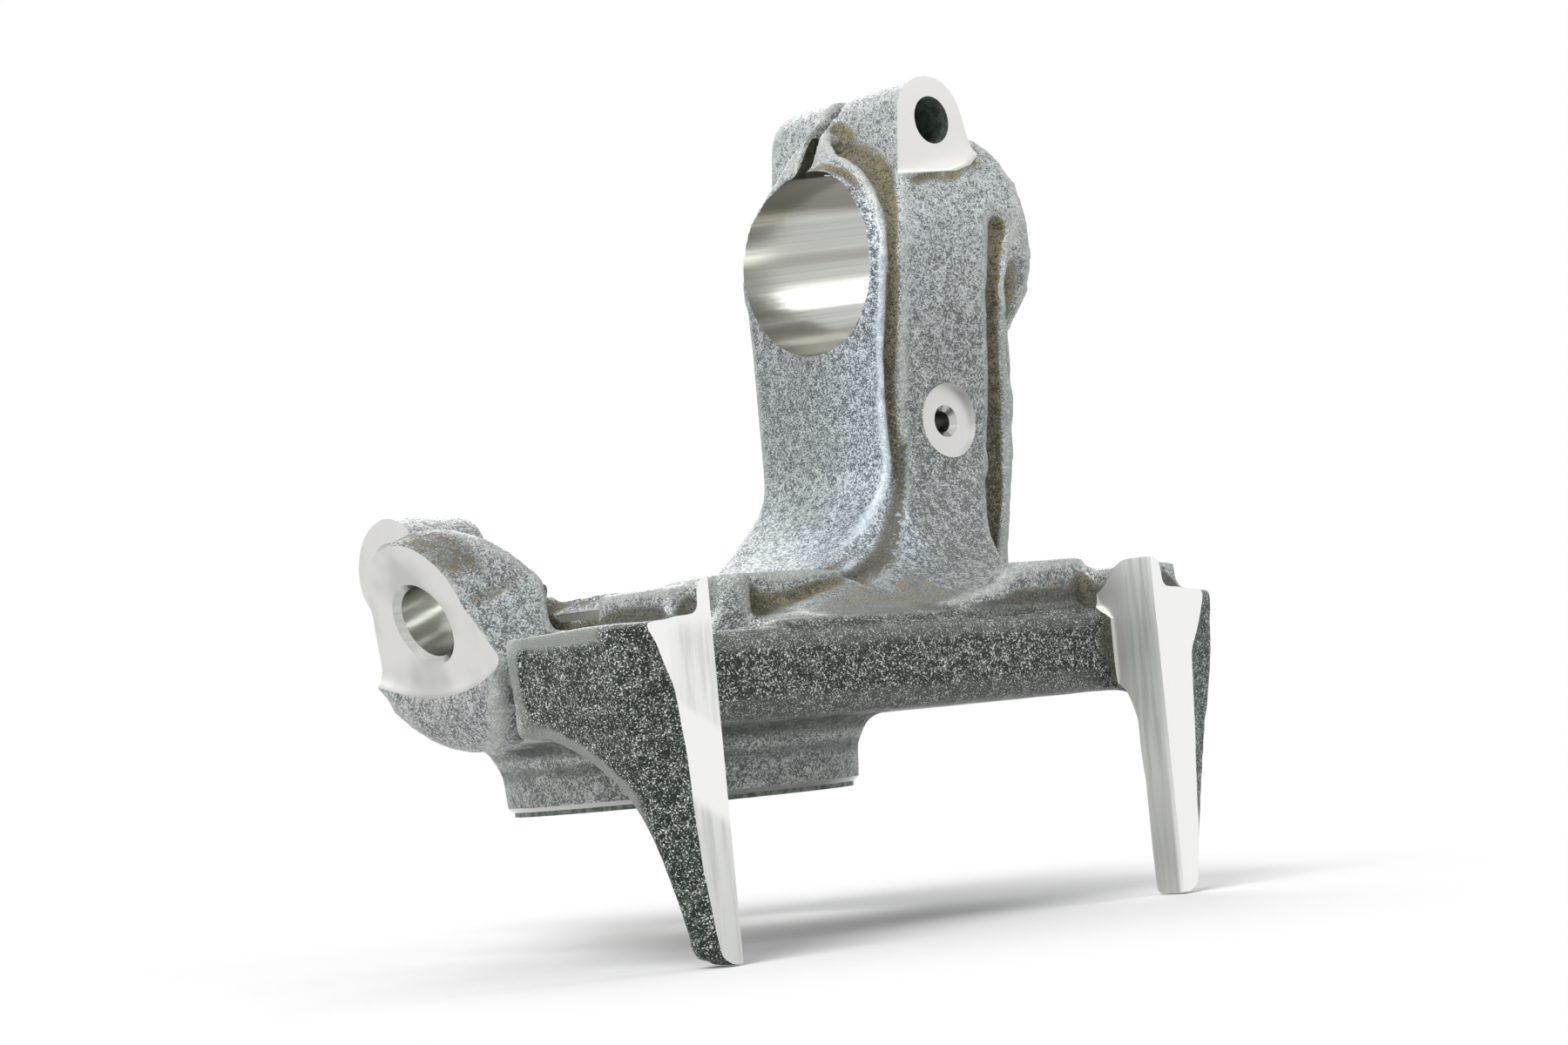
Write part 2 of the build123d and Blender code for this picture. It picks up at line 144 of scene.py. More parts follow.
def block(low: Point, high: Point) -> Solid:
    """Box between two corners.

    Args:
        low: the lowest corner in millimetres.
        high: the highest corner.

    Returns:
        A closed bmesh in millimetres.
    """
    bm = bmesh.new()
    bmesh.ops.create_cube(bm, size=1)
    size = Vector(high) - Vector(low)
    centre = (Vector(high) + Vector(low)) / 2
    bmesh.ops.scale(bm, vec=size, verts=bm.verts)
    bmesh.ops.translate(bm, vec=centre, verts=bm.verts)
    return bm


def wedge(outline: Outline, start: float, end: float) -> Solid:
    """Prism with an XZ outline between two Y planes.

    Args:
        outline: X and Z pairs in millimetres.
        start: the Y of its first face.
        end: the Y of its last face.

    Returns:
        A closed bmesh in millimetres.
    """
    bm = bmesh.new()
    face = bm.faces.new([bm.verts.new((x, start, z)) for x, z in outline])
    grown = bmesh.ops.extrude_face_region(bm, geom=[face])
    moved = [part for part in grown["geom"] if isinstance(part, bmesh.types.BMVert)]
    bmesh.ops.translate(bm, vec=(0, end - start, 0), verts=moved)
    bmesh.ops.recalc_face_normals(bm, faces=bm.faces)
    return bm


def across_x(outline: Outline, start: float, end: float) -> Solid:
    """Prism with a YZ outline between two X planes.

    Args:
        outline: Y and Z pairs in millimetres.
        start: the X of its first face.
        end: the X of its last face.

    Returns:
        A closed bmesh in millimetres.
    """
    bm = wedge(tuple((-y, z) for y, z in outline), start, end)
    bmesh.ops.rotate(bm, verts=bm.verts, cent=(0, 0, 0), matrix=Matrix.Rotation(-math.pi / 2, 3, "Z"))
    return bm


def rounded_end(bm: Solid, depth: float, radius: float) -> Solid:
    """Gives a prism along Y the corner radius of an end mill at its deep end.

    Args:
        bm: the prism in millimetres, changed in place.
        depth: the Y of its deep end.
        radius: the corner radius.

    Returns:
        The same bmesh.
    """
    rim = [edge for edge in bm.edges if all(abs(vert.co.y - depth) < 1e-4 for vert in edge.verts)]
    bmesh.ops.bevel(
        bm, geom=rim, offset=radius, segments=4, profile=0.5, affect="EDGES", material=-1, clamp_overlap=True
    )
    bmesh.ops.recalc_face_normals(bm, faces=bm.faces)
    return bm


def relax(bm: Solid, verts: list[bmesh.types.BMVert], factor: float, rounds: int) -> None:
    """Draws vertices towards the middle of their neighbours.

    Args:
        bm: the mesh, changed in place.
        verts: the vertices that move.
        factor: how far they go in each round.
        rounds: how often they do.
    """
    for _ in range(rounds):
        bmesh.ops.smooth_vert(
            bm, verts=verts, factor=factor, use_axis_x=True, use_axis_y=True, use_axis_z=True
        )


def to_object(
    bm: Solid, name: str, materials: tuple[bpy.types.Material, ...], finish: Finish
) -> bpy.types.Object:
    """Turns a bmesh in millimetres into an object in metres at the origin.

    Args:
        bm: the shape, which is freed.
        name: the object's name.
        materials: the materials of its slots.
        finish: the slot that all its faces take.

    Returns:
        The new object, linked to the scene.
    """
    bmesh.ops.scale(bm, vec=(MM, MM, MM), verts=bm.verts)
    for face in bm.faces:
        face.material_index = finish.value
    mesh = bpy.data.meshes.new(name)
    bm.to_mesh(mesh)
    bm.free()
    for material in materials:
        mesh.materials.append(material)
    made = bpy.data.objects.new(name, mesh)
    bpy.context.scene.collection.objects.link(made)
    return made


def applied(owner: bpy.types.Object) -> None:
    """Replaces an object's mesh by what its modifiers make of it, and clears them.

    Args:
        owner: the object.
    """
    graph = bpy.context.evaluated_depsgraph_get()
    baked = bpy.data.meshes.new_from_object(owner.evaluated_get(graph), depsgraph=graph)
    owner.modifiers.clear()
    old = owner.data
    owner.data = baked
    bpy.data.meshes.remove(old)


# --------------------------------------------------------------- machining


@dataclass(frozen=True)
class MilledPlane:
    """A flat seat that is cast with stock on it and milled back.

    A face of the casting is on it where it is aligned with it and lies off the plane by next to
    nothing, within reach of the point. The flattest wall that the stock follows runs so many
    millimetres across for each millimetre of height.
    """

    name: str
    point: Point
    normal: Point
    stock: float = 2.5
    reach: float = 60.0
    aligned: float = 0.999
    off_plane: float = 0.02
    follow: float = 3.2

    def grow(self, bm: Solid) -> int:
        """Pulls the casting's flat faces on this plane, within its reach, outwards by the stock.

        Args:
            bm: the merged casting in millimetres.

        Returns:
            How many faces were pulled.
        """
        point, normal = Vector(self.point), Vector(self.normal).normalized()
        flat = []
        for face in bm.faces:
            centre = face.calc_center_median()
            offset = abs((centre - point).dot(normal))
            near = offset < self.off_plane and (centre - point).length < self.reach
            if near and face.normal.dot(normal) > self.aligned:
                flat.append(face)
        if not flat:
            return 0
        grown = bmesh.ops.extrude_face_region(bm, geom=flat)
        moved = [part for part in grown["geom"] if isinstance(part, bmesh.types.BMVert)]
        leans = [self.lean(vert, normal) for vert in moved]
        for vert, lean in zip(moved, leans):
            vert.co += (normal + lean) * self.stock
        return len(flat)

    def lean(self, vert: bmesh.types.BMVert, normal: Vector) -> Vector:
        """How far the wall under a corner of the seat leans in, so that the stock can go on in line.

        Args:
            vert: a corner of the extruded seat.
            normal: the way the seat faces.

        Returns:
            The sideways step for each mm of stock.
        """
        best, steepest = Vector(), 0.2
        feet = [edge.other_vert(vert) for edge in vert.link_edges]
        for foot in (end for end in feet if (end.co - vert.co).length < 1e-6):
            for edge in foot.link_edges:
                run = foot.co - edge.other_vert(foot).co
                rise = run.dot(normal)
                if run.length > 1e-3 and rise / run.length > steepest:
                    steepest = rise / run.length
                    best = run / rise - normal
        return best if best.length < self.follow else best.normalized() * self.follow


@dataclass(frozen=True)
class Bore:
    """A bored or drilled hole, with the line it lies on and where it starts and ends on it."""

    origin: Point
    axis: Point
    radius: float
    low: float
    high: float
    chamfer: float = 0.0
    finish: Finish = Finish.BORED

    @property
    def place(self) -> Matrix:
        """The hole's line."""
        return along(Vector(self.origin), Vector(self.axis))

    def plug(self) -> Solid:
        """Bar that fills the hole in the blank, flush with its mouths."""
        return rod(self.radius + OVERCUT / 2, self.low, self.high, self.place)

    def cutter(self) -> Solid:
        """Boring tool that runs past both mouths, with a chamfer at the low one.

        Returns:
            A closed bmesh in millimetres.
        """
        radius = self.radius + OVERCUT
        start, end = self.low - BAR_RUN_OUT, self.high + BAR_RUN_OUT
        if not self.chamfer:
            return rod(radius, start, end, self.place)
        wide = radius + self.chamfer
        mouth = ((wide, start), (wide, self.low), (radius, self.low + self.chamfer))
        return turned(((0, start), *mouth, (radius, end), (0, end)), self.place)


@dataclass(frozen=True)
class Blank:
    """The rough casting as it leaves the mould, with its machining stock on.

    The last field lists the boxes, on both sides alike, where the pattern has large radii: their low
    and high corners in millimetres, and how many more rounds of softening they get.
    """

    voxel: float = 1.25 * MM
    soften_rounds: int = 5
    soften_factor: float = 0.5
    swell: float = 0.16 * MM
    swell_length: float = 9 * MM
    eased: tuple[tuple[Point, Point, int], ...] = (
        ((86, -70, 12), (106, -46, 30), 12),
        ((79.5, -98.6, -30), (94, -84, 30), 12),
        ((69, -60, 45), (98, -23.5, 80), 24),
    )

    def raw_copy(self) -> Solid:
        """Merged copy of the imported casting.

        Returns:
            A bmesh in millimetres.
        """
        bm = bmesh.new()
        bm.from_mesh(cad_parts[NODE].data)
        bmesh.ops.scale(bm, vec=(1 / MM,) * 3, verts=bm.verts)
        bmesh.ops.remove_doubles(bm, verts=bm.verts, dist=1e-3)
        bm.normal_update()
        return bm

    def join(self, owner: bpy.types.Object, parts: list[Solid]) -> None:
        """Lays more solids into the blank's mesh.

        Args:
            owner: the object that holds the casting.
            parts: the solids in millimetres, which are freed.
        """
        joined = bmesh.new()
        joined.from_mesh(owner.data)
        for part in parts:
            bmesh.ops.scale(part, vec=(MM, MM, MM), verts=part.verts)
            mesh = bpy.data.meshes.new("stock")
            part.to_mesh(mesh)
            part.free()
            joined.from_mesh(mesh)
            bpy.data.meshes.remove(mesh)
        joined.to_mesh(owner.data)
        joined.free()

    def remesh(self, owner: bpy.types.Object) -> None:
        """Fuses the casting and its stock into one even skin.

        Args:
            owner: the object that holds them all.
        """
        remesh = owner.modifiers.new("skin", "REMESH")
        remesh.mode = "VOXEL"
        remesh.voxel_size = self.voxel
        applied(owner)

    def ease(self, bm: Solid) -> None:
        """Rounds the places where the pattern has large radii.

        Args:
            bm: the remeshed blank.
        """
        for low, high, rounds in self.eased:
            low, high = Vector(low) * MM, Vector(high) * MM
            inside = []
            for vert in bm.verts:
                at = Vector((abs(vert.co.x), vert.co.y, vert.co.z))
                if all(low[k] < at[k] < high[k] for k in range(3)):
                    inside.append(vert)
            relax(bm, inside, self.soften_factor, rounds)

    def soften(self, owner: bpy.types.Object) -> None:
        """Rounds every edge and corner as moulding sand does, and makes the skin a little uneven.

        Args:
            owner: the remeshed blank.
        """
        bm = bmesh.new()
        bm.from_mesh(owner.data)
        relax(bm, list(bm.verts), self.soften_factor, self.soften_rounds)
        self.ease(bm)
        bm.normal_update()
        for vert in bm.verts:
            wave = noise.noise(vert.co / self.swell_length)
            vert.co += vert.normal * (wave * self.swell)
        bm.to_mesh(owner.data)
        bm.free()


def crease_of(mesh: bpy.types.Mesh, rounds: int) -> np.ndarray:
    """How far each vertex lies inside a crease (positive) or out on an edge (negative), in metres.

    Args:
        mesh: an even mesh.
        rounds: how many times the neighbours are averaged, which sets the width that is felt.

    Returns:
        One number for each vertex.
    """
    count = len(mesh.vertices)
    at = np.empty(count * 3)
    mesh.vertices.foreach_get("co", at)
    at = at.reshape(-1, 3)
    normal = np.empty(count * 3)
    mesh.vertices.foreach_get("normal", normal)
    normal = normal.reshape(-1, 3)
    ends = np.empty(len(mesh.edges) * 2, np.int64)
    mesh.edges.foreach_get("vertices", ends)
    first, second = ends.reshape(-1, 2).T
    near = np.bincount(first, minlength=count) + np.bincount(second, minlength=count)
    mean = at.copy()
    for _ in range(rounds):
        total = np.empty_like(mean)
        for k in range(3):
            total[:, k] = np.bincount(first, mean[second, k], count)
            total[:, k] += np.bincount(second, mean[first, k], count)
        mean = (mean + total) / (near + 1)[:, None]
    return ((mean - at) * normal).sum(1)


# ---------------------------------------------------------------- features


class Bored:
    """A feature with round holes."""

    def bores(self) -> list[Bore]:
        """The holes, each with its mouths where the casting has them."""
        return []

    def stock(self) -> list[Solid]:
        """What fills the holes in the blank."""
        return [bore.plug() for bore in self.bores()]

    def drills(self) -> list[tuple[Finish, Solid]]:
        """The cutters for the holes, with the finish that each leaves."""
        return [(bore.finish, bore.cutter()) for bore in self.bores()]


@dataclass(frozen=True)
class PadGuides:
    """The walls inside both carrier arms that the pads slide along. Its outlines hold Y and Z."""

    back: float = -90.4
    stock_in: float = 2.5
    stock_out: float = 3.0
    wall: float = 6.0
    overlap: float = 1.0
    foot: float = -48.0
    head: float = 62.0
    cast: Outline = (
        (-102.5, -35.5), (-92, -35.5), (-92, 8), (-88, 19), (-88, 45), (-91, 49.5), (-102.5, 49.5),
    )
    milled: Outline = (
        (-118, -48), (-91, -48), (-91, 9), (-86.4, 17), (-86.4, 35), (-82.5, 38.4), (-82, 41.5),
        (-85, 43.5), (-88.8, 48), (-88.8, 64), (-118, 64),
    )

    def stock(self) -> list[Solid]:
        """Stock that the guides are cast with on both arms."""
        inner, root = GUIDE_X - self.stock_in, GUIDE_X + self.stock_out
        return [across_x(self.cast, inner, root), across_x(self.cast, -root, -inner)]

    def mills(self) -> list[Solid]:
        """The cutters for both guides, and the one that clears the gap between them.

        Returns:
            Closed bmeshes in millimetres.
        """
        inner = GUIDE_X - self.wall
        half = inner + self.overlap
        return [
            across_x(self.milled, inner, GUIDE_X),
            across_x(self.milled, -GUIDE_X, -inner),
            block((-half, FACE_Y - BAR_RUN_OUT, self.foot), (half, self.back, self.head)),
        ]


@dataclass(frozen=True)
class ArmFronts:
    """The machined fronts of both carrier arms."""

    middle: float = 78.0
    inner: float = 72.3
    outer: float = 104.0
    foot: float = -48.0
    head: float = 56.0

    def seats(self) -> list[MilledPlane]:
        """The two fronts.

        Returns:
            Two planes, each with its stock.
        """
        return [
            MilledPlane("left front", (-self.middle, FACE_Y, 0), (0, -1, 0)),
            MilledPlane("right front", (self.middle, FACE_Y, 0), (0, -1, 0)),
        ]

    def mills(self) -> list[Solid]:
        """The facing cutters for both arms.

        Returns:
            Closed bmeshes in millimetres.
        """
        start = FACE_Y - RUN_OUT
        return [
            block((self.inner, start, self.foot), (self.outer, FACE_Y, self.head)),
            block((-self.outer, start, self.foot), (-self.inner, FACE_Y, self.head)),
        ]


@dataclass(frozen=True)
class GussetLips:
    """Beads along the back edges of both gussets, where the pattern draws.

    The line holds Y and Z pairs from the top down, and the cheek holds Z and X pairs of the gusset's
    outer face.
    """

    radius: float = 2.7
    rise: float = 1.3
    overlap: float = 0.8
    line: Outline = (
        (-60.6, 37), (-60.2, 29.5), (-61.4, 23), (-64.5, 18.4), (-72.2, 15.2), (-78.8, 12),
        (-84.6, 7.4), (-88.8, 2.6), (-91.2, -3), (-92.8, -12), (-93.2, -22), (-93.2, -31),
    )
    cheek: Outline = ((-34, 81.5), (-17, 87), (4, 93.2), (22, 98.6), (40.5, 101))

    def centres(self) -> list[Vector]:
        """The middle line of the right arm's bead, a radius in from the gusset's edge.

        Returns:
            Points in millimetres, from the top down.
        """
        levels, reaches = zip(*self.cheek)
        last = len(self.line) - 1
        found = []
        for index, (y, z) in enumerate(self.line):
            before = Vector(self.line[max(index - 1, 0)])
            after = Vector(self.line[min(index + 1, last)])
            run = (after - before).normalized()
            x = float(np.interp(z, levels, reaches)) - self.radius + self.rise
            found.append(Vector((x, y + run.y * self.radius, z - run.x * self.radius)))
        return found

    def stock(self) -> list[Solid]:
        """The rods that make up both beads.

        Returns:
            Closed bmeshes in millimetres.
        """
        centres = self.centres()
        beads = []
        for side in (Vector((1, 1, 1)), Vector((-1, 1, 1))):
            for start, end in zip(centres, centres[1:]):
                step = (end - start) * side
                place = along(start * side, step.normalized())
                beads.append(rod(self.radius, -self.overlap, step.length + self.overlap, place))
        return beads


@dataclass(frozen=True)
class StrutClamp(Bored):
    """The raked collar round the strut, its slot, and the pinch bolt's hole and faces.

    The slot and the pinch seat have X and Z outlines.
    """

    radius: float = 25.0
    start: float = -3.0
    length: float = 54.7
    slot_y: float = 1.0
    slot_w: float = 5.5
    slot: Outline = ((50, 141), (50, 205), (130, 205), (130, 150))
    pinch_x: float = 88.7
    pinch_z: float = 177.6
    pinch_r: float = 6.5
    pinch_face: float = -26.8
    pinch_back: float = 27.0
    back_r: float = 19.0
    corner_r: float = 1.1
    seat: Outline = (
        (68, 160.8), (83.5, 162.4), (93.7, 163.2), (100.4, 165.4), (104.9, 169.7), (104.9, 196),
        (68, 196),
    )

    def seats(self) -> list[MilledPlane]:
        """The faces under the pinch bolt's head and nut.

        Returns:
            Two planes, each with its stock.
        """
        return [
            MilledPlane("pinch seat", (self.pinch_x, self.pinch_face, self.pinch_z), (0, -1, 0)),
            MilledPlane("pinch back", (self.pinch_x, self.pinch_back, self.pinch_z), (0, 1, 0)),
        ]

    def bores(self) -> list[Bore]:
        """The strut's bore and the pinch bolt's hole.

        Returns:
            Both holes.
        """
        axis = (math.cos(CLAMP_TILT), 0, math.sin(CLAMP_TILT))
        bolt = (self.pinch_x, 0, self.pinch_z)
        return [
            Bore(CLAMP_FACE, axis, self.radius, self.start, self.length),
            Bore(bolt, (0, 1, 0), self.pinch_r, self.pinch_face, self.pinch_back, finish=Finish.OILED_AND_SHADED),
        ]

    def mills(self) -> list[Solid]:
        """The end mill for the pinch seat, and the round one for the face behind.

        Returns:
            Closed bmeshes in millimetres.
        """
        seat = wedge(self.seat, self.pinch_face - RUN_OUT, self.pinch_face)
        place = along(Vector((self.pinch_x, 0, self.pinch_z)), Y_AXIS)
        return [
            rounded_end(seat, self.pinch_face, self.corner_r),
            rod(self.back_r, self.pinch_back, self.pinch_back + RUN_OUT, place),
        ]

    def drills(self) -> list[tuple[Finish, Solid]]:
        """The saw that splits the collar, and the tools for both holes."""
        half = self.slot_w / 2
        return [(Finish.SAWN, wedge(self.slot, self.slot_y - half, self.slot_y + half)), *super().drills()]


@dataclass(frozen=True)
class BallLug(Bored):
    """The lug for the ball joint's stud, with its bore and its scalloped seat."""

    at: Point = (-78, 0, 48)
    tilt: float = math.radians(22)
    radius: float = 8.9
    length: float = 36.0
    chamfer: float = 1.6
    cutter_r: float = 60.0
    drop: float = 18.0
    corner_r: float = 3.6
    corner_steps: int = 6
    run_out: float = 16.0

    @property
    def axis(self) -> Vector:
        """The direction of the bore into the lug."""
        return Vector((math.cos(self.tilt), 0, math.sin(self.tilt)))

    def seats(self) -> list[MilledPlane]:
        """The face that the joint is drawn up to."""
        return [MilledPlane("ball seat", self.at, tuple(-self.axis))]

    def bores(self) -> list[Bore]:
        """The stud's bore."""
        return [Bore(self.at, tuple(self.axis), self.radius, 0, self.length, self.chamfer)]

    def mills(self) -> list[Solid]:
        """The wide end mill for the seat, with its rounded corner.

        Returns:
            Closed bmeshes in millimetres.
        """
        upwards = along(Vector(self.at), self.axis).to_3x3() @ Y_AXIS
        centre = Vector(self.at) + upwards * (self.cutter_r - self.drop)
        flat_r = self.cutter_r - self.corner_r
        profile = [(0, -self.run_out), (self.cutter_r, -self.run_out)]
        for step in range(self.corner_steps + 1):
            turn = math.pi / 2 * step / self.corner_steps
            profile.append((flat_r + self.corner_r * math.cos(turn), self.corner_r * (math.sin(turn) - 1)))
        profile.append((0, 0))
        return [turned(tuple(profile), along(centre, self.axis), 144)]


@dataclass(frozen=True)
class TieBoss(Bored):
    """The boss at the end of the steering arm, for the tie rod."""

    at: Point = (-25, 86, 68.5)
    radius: float = 6.5
    length: float = 24.0
    chamfer: float = 0.8
    cutter_r: float = 22.0

    def seats(self) -> list[MilledPlane]:
        """Both ends of the boss.

        Returns:
            Two planes, each with its stock.
        """
        x, y, z = self.at
        return [
            MilledPlane("tie face", self.at, (-1, 0, 0)),
            MilledPlane("tie back", (x + self.length, y, z), (1, 0, 0)),
        ]

    def bores(self) -> list[Bore]:
        """The hole through the boss."""
        return [Bore(self.at, (1, 0, 0), self.radius, 0, self.length, self.chamfer)]

    def mills(self) -> list[Solid]:
        """The facing cutters for both ends.

        Returns:
            Closed bmeshes in millimetres.
        """
        place = along(Vector(self.at), X_AXIS)
        return [
            rod(self.cutter_r, -RUN_OUT, 0, place),
            rod(self.cutter_r, self.length, self.length + RUN_OUT, place),
        ]


@dataclass(frozen=True)
class Hub:
    """The bearing's bore with its neck and circlip groove, and the barrel's turned end."""

    bore_r: float = 37.5
    neck_r: float = 34.5
    neck_z: float = 48.5
    rim_z: float = 54.0
    circlip_r: float = 39.6
    circlip_z: tuple[float, float] = (3.0, 5.2)
    mouth_chamfer: float = 1.0
    barrel_r: float = 45.4
    barrel_chamfer: float = 1.2
    spigot_r: float = 43.8
    spigot_h: float = 1.2
    facing_r: float = 60.0
    stock_h: float = 2.0
    stock_inset: float = 0.2
    stock_root: float = 12.0
    steps: int = 160

    def stock(self) -> list[Solid]:
        """Bars that fill the bore and stand out below the barrel.

        Returns:
            Closed bmeshes in millimetres.
        """
        end = -self.spigot_h - self.stock_h
        return [
            rod(self.bore_r + OVERCUT / 2, end, self.neck_z + 1, HUB_AXIS),
            rod(self.neck_r + OVERCUT / 2, self.neck_z, self.rim_z, HUB_AXIS),
            rod(self.barrel_r - self.stock_inset, end, self.stock_root, HUB_AXIS),
        ]

    def drills(self) -> list[tuple[Finish, Solid]]:
        """The boring bar, and the facing tool for the outboard end.

        Returns:
            The finish that each leaves, and a closed bmesh in millimetres.
        """
        bore, neck = self.bore_r + OVERCUT, self.neck_r + OVERCUT
        low, high = self.circlip_z
        mouth = -self.spigot_h
        wide = bore + self.mouth_chamfer
        start, end = mouth - BAR_RUN_OUT, self.rim_z + BAR_RUN_OUT
        opening = ((0, start), (wide, start), (wide, mouth), (bore, mouth + self.mouth_chamfer))
        groove = ((bore, low), (self.circlip_r, low), (self.circlip_r, high), (bore, high))
        shoulder = ((bore, self.neck_z), (neck, self.neck_z), (neck, end), (0, end))
        bar = (*opening, *groove, *shoulder)
        chamfered = self.barrel_r - self.barrel_chamfer
        outside = ((0, mouth - RUN_OUT), (self.facing_r, mouth - RUN_OUT))
        cone = ((self.facing_r, self.facing_r - chamfered), (chamfered, 0))
        facing = (*outside, *cone, (self.spigot_r, 0), (self.spigot_r, mouth), (0, mouth))
        return [(Finish.BORED, turned(profile, HUB_AXIS, self.steps)) for profile in (bar, facing)]


@dataclass(frozen=True)
class BracketSeat:
    """The spot-faced seat on the side of the strut arm, with its small blind hole."""

    at: Point = (84.3, -25.2, 94.2)
    seat_r: float = 10.2
    stock_h: float = 1.6
    plug: Point = (2.95, -0.5, 15.3)
    hole: Outline = ((0, -8), (4.4, -8), (4.4, 0), (2.9, 1.5), (2.9, 15.2), (0, 16.6))

    @property
    def place(self) -> Matrix:
        """The hole's line."""
        return along(Vector(self.at), Y_AXIS)

    def seats(self) -> list[MilledPlane]:
        """The seat."""
        return [MilledPlane("bracket seat", self.at, (0, -1, 0), self.stock_h)]

    def stock(self) -> list[Solid]:
        """The bar that fills the hole: its radius, and where it starts and ends."""
        return [rod(*self.plug, self.place)]

    def mills(self) -> list[Solid]:
        """The spot facer."""
        return [rod(self.seat_r, -RUN_OUT, 0, self.place)]

    def drills(self) -> list[tuple[Finish, Solid]]:
        """The drill, with its countersink and cone end."""
        return [(Finish.BORED, turned(self.hole, self.place, 48))]


@dataclass(frozen=True)
class Knuckle:
    """The whole casting: its blank, its features, and the cuts that finish it.

    Its materials stand in the order of Finish.
    """

    materials: tuple[bpy.types.Material, ...]
    blank: Blank = Blank()
    guides: PadGuides = PadGuides()
    fronts: ArmFronts = ArmFronts()
    lips: GussetLips = GussetLips()
    clamp: StrutClamp = StrutClamp()
    ball: BallLug = BallLug()
    tie: TieBoss = TieBoss()
    hub: Hub = Hub()
    bracket: BracketSeat = BracketSeat()
    crease_rounds: int = 10
    sharp_angle: float = math.radians(38)
    upright: float = 0.3
    spigot_slack: float = 0.5

    def seats(self) -> list[MilledPlane]:
        """The flat faces that are cast with stock on them."""
        owners = (self.fronts, self.clamp, self.ball, self.bracket, self.tie)
        return [seat for owner in owners for seat in owner.seats()]

    def stock(self) -> list[Solid]:
        """What fills the holes of the blank, and what is cast on for the cutters."""
        owners = (self.clamp, self.ball, self.tie, self.hub, self.bracket, self.guides, self.lips)
        return [part for owner in owners for part in owner.stock()]

    def cutters(self) -> list[tuple[Finish, Solid]]:
        """Every cutter in the order of the work: first the flat faces, then the holes.

        Returns:
            The finish that each leaves, and a closed bmesh in millimetres.
        """
        faced = (self.guides, self.clamp, self.ball, self.bracket, self.tie, self.fronts)
        drilled = (self.clamp, self.ball, self.tie, self.hub, self.bracket)
        work = [(Finish.MILLED, bm) for owner in faced for bm in owner.mills()]
        return work + [drill for owner in drilled for drill in owner.drills()]

    def cast(self) -> tuple[bpy.types.Object, np.ndarray]:
        """Makes the blank.

        Returns:
            The blank, and how creased it is at each vertex.
        """
        bm = self.blank.raw_copy()
        for seat in self.seats():
            log.info("%s: stock on %d faces", seat.name, seat.grow(bm))
        whole = to_object(bm, "casting", self.materials, Finish.CAST)
        self.blank.join(whole, self.stock())
        self.blank.remesh(whole)
        self.blank.soften(whole)
        return whole, crease_of(whole.data, self.crease_rounds)

    def machine(self, whole: bpy.types.Object) -> None:
        """Takes every cut out of the blank.

        Args:
            whole: the blank.
        """
        for finish, bm in self.cutters():
            tool = to_object(bm, "tool", self.materials, finish)
            cut = whole.modifiers.new("cut", "BOOLEAN")
            cut.operation = "DIFFERENCE"
            cut.solver = "MANIFOLD"
            cut.object = tool
            applied(whole)
            bpy.data.meshes.remove(tool.data)

    def on_spigot(self, face: bmesh.types.BMFace) -> bool:
        """Whether a face is on the side wall of the thin rim at the barrel's end.

        Args:
            face: a face of the machined casting.

        Returns:
            True if it is.
        """
        centre = face.calc_center_median() / MM
        upright = abs(face.normal.z) < self.upright
        return upright and centre.z < 0 and abs(centre.xy.length - self.hub.spigot_r) < self.spigot_slack

    def finish_mesh(self, whole: bpy.types.Object, blank_at: np.ndarray, crease: np.ndarray) -> None:
        """Carries the creases over from the blank, gives the spigot's wall the pinch hole's dark finish as
        painted shade, and sets which edges are sharp.

        Args:
            whole: the machined casting.
            blank_at: the blank's vertices.
            crease: how creased the blank is at each.
        """
        tree = kdtree.KDTree(len(blank_at))
        for index, point in enumerate(blank_at):
            tree.insert(point, index)
        tree.balance()
        mesh = whole.data
        felt = [crease[tree.find(vert.co)[1]] for vert in mesh.vertices]
        layer = mesh.attributes.new("crease", "FLOAT", "POINT")
        layer.data.foreach_set("value", np.array(felt, np.float32) / MM)
        bm = bmesh.new()
        bm.from_mesh(mesh)
        for face in bm.faces:
            face.smooth = True
            # painted shade: the thin rim's side wall takes the dark finish of the pinch bolt's hole
            if self.on_spigot(face):
                face.material_index = Finish.OILED_AND_SHADED.value
        for edge in bm.edges:
            if len(edge.link_faces) == 2:
                one, two = edge.link_faces
                step = one.material_index != two.material_index
                edge.smooth = not (step or edge.calc_face_angle(0) > self.sharp_angle)
        bm.to_mesh(mesh)
        bm.free()

    def build(self) -> bpy.types.Object:
        """Casts and machines the knuckle.

        Returns:
            The finished piece.
        """
        whole, crease = self.cast()
        blank_at = np.array([vert.co for vert in whole.data.vertices])
        log.info("blank: %d faces", len(whole.data.polygons))
        self.machine(whole)
        self.finish_mesh(whole, blank_at, crease)
        whole.name = "knuckle"
        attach(whole, BODY)
        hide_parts(NODE)
        log.info("knuckle: %d faces", len(whole.data.polygons))
        return whole


# --------------------------------------------------------------- materials


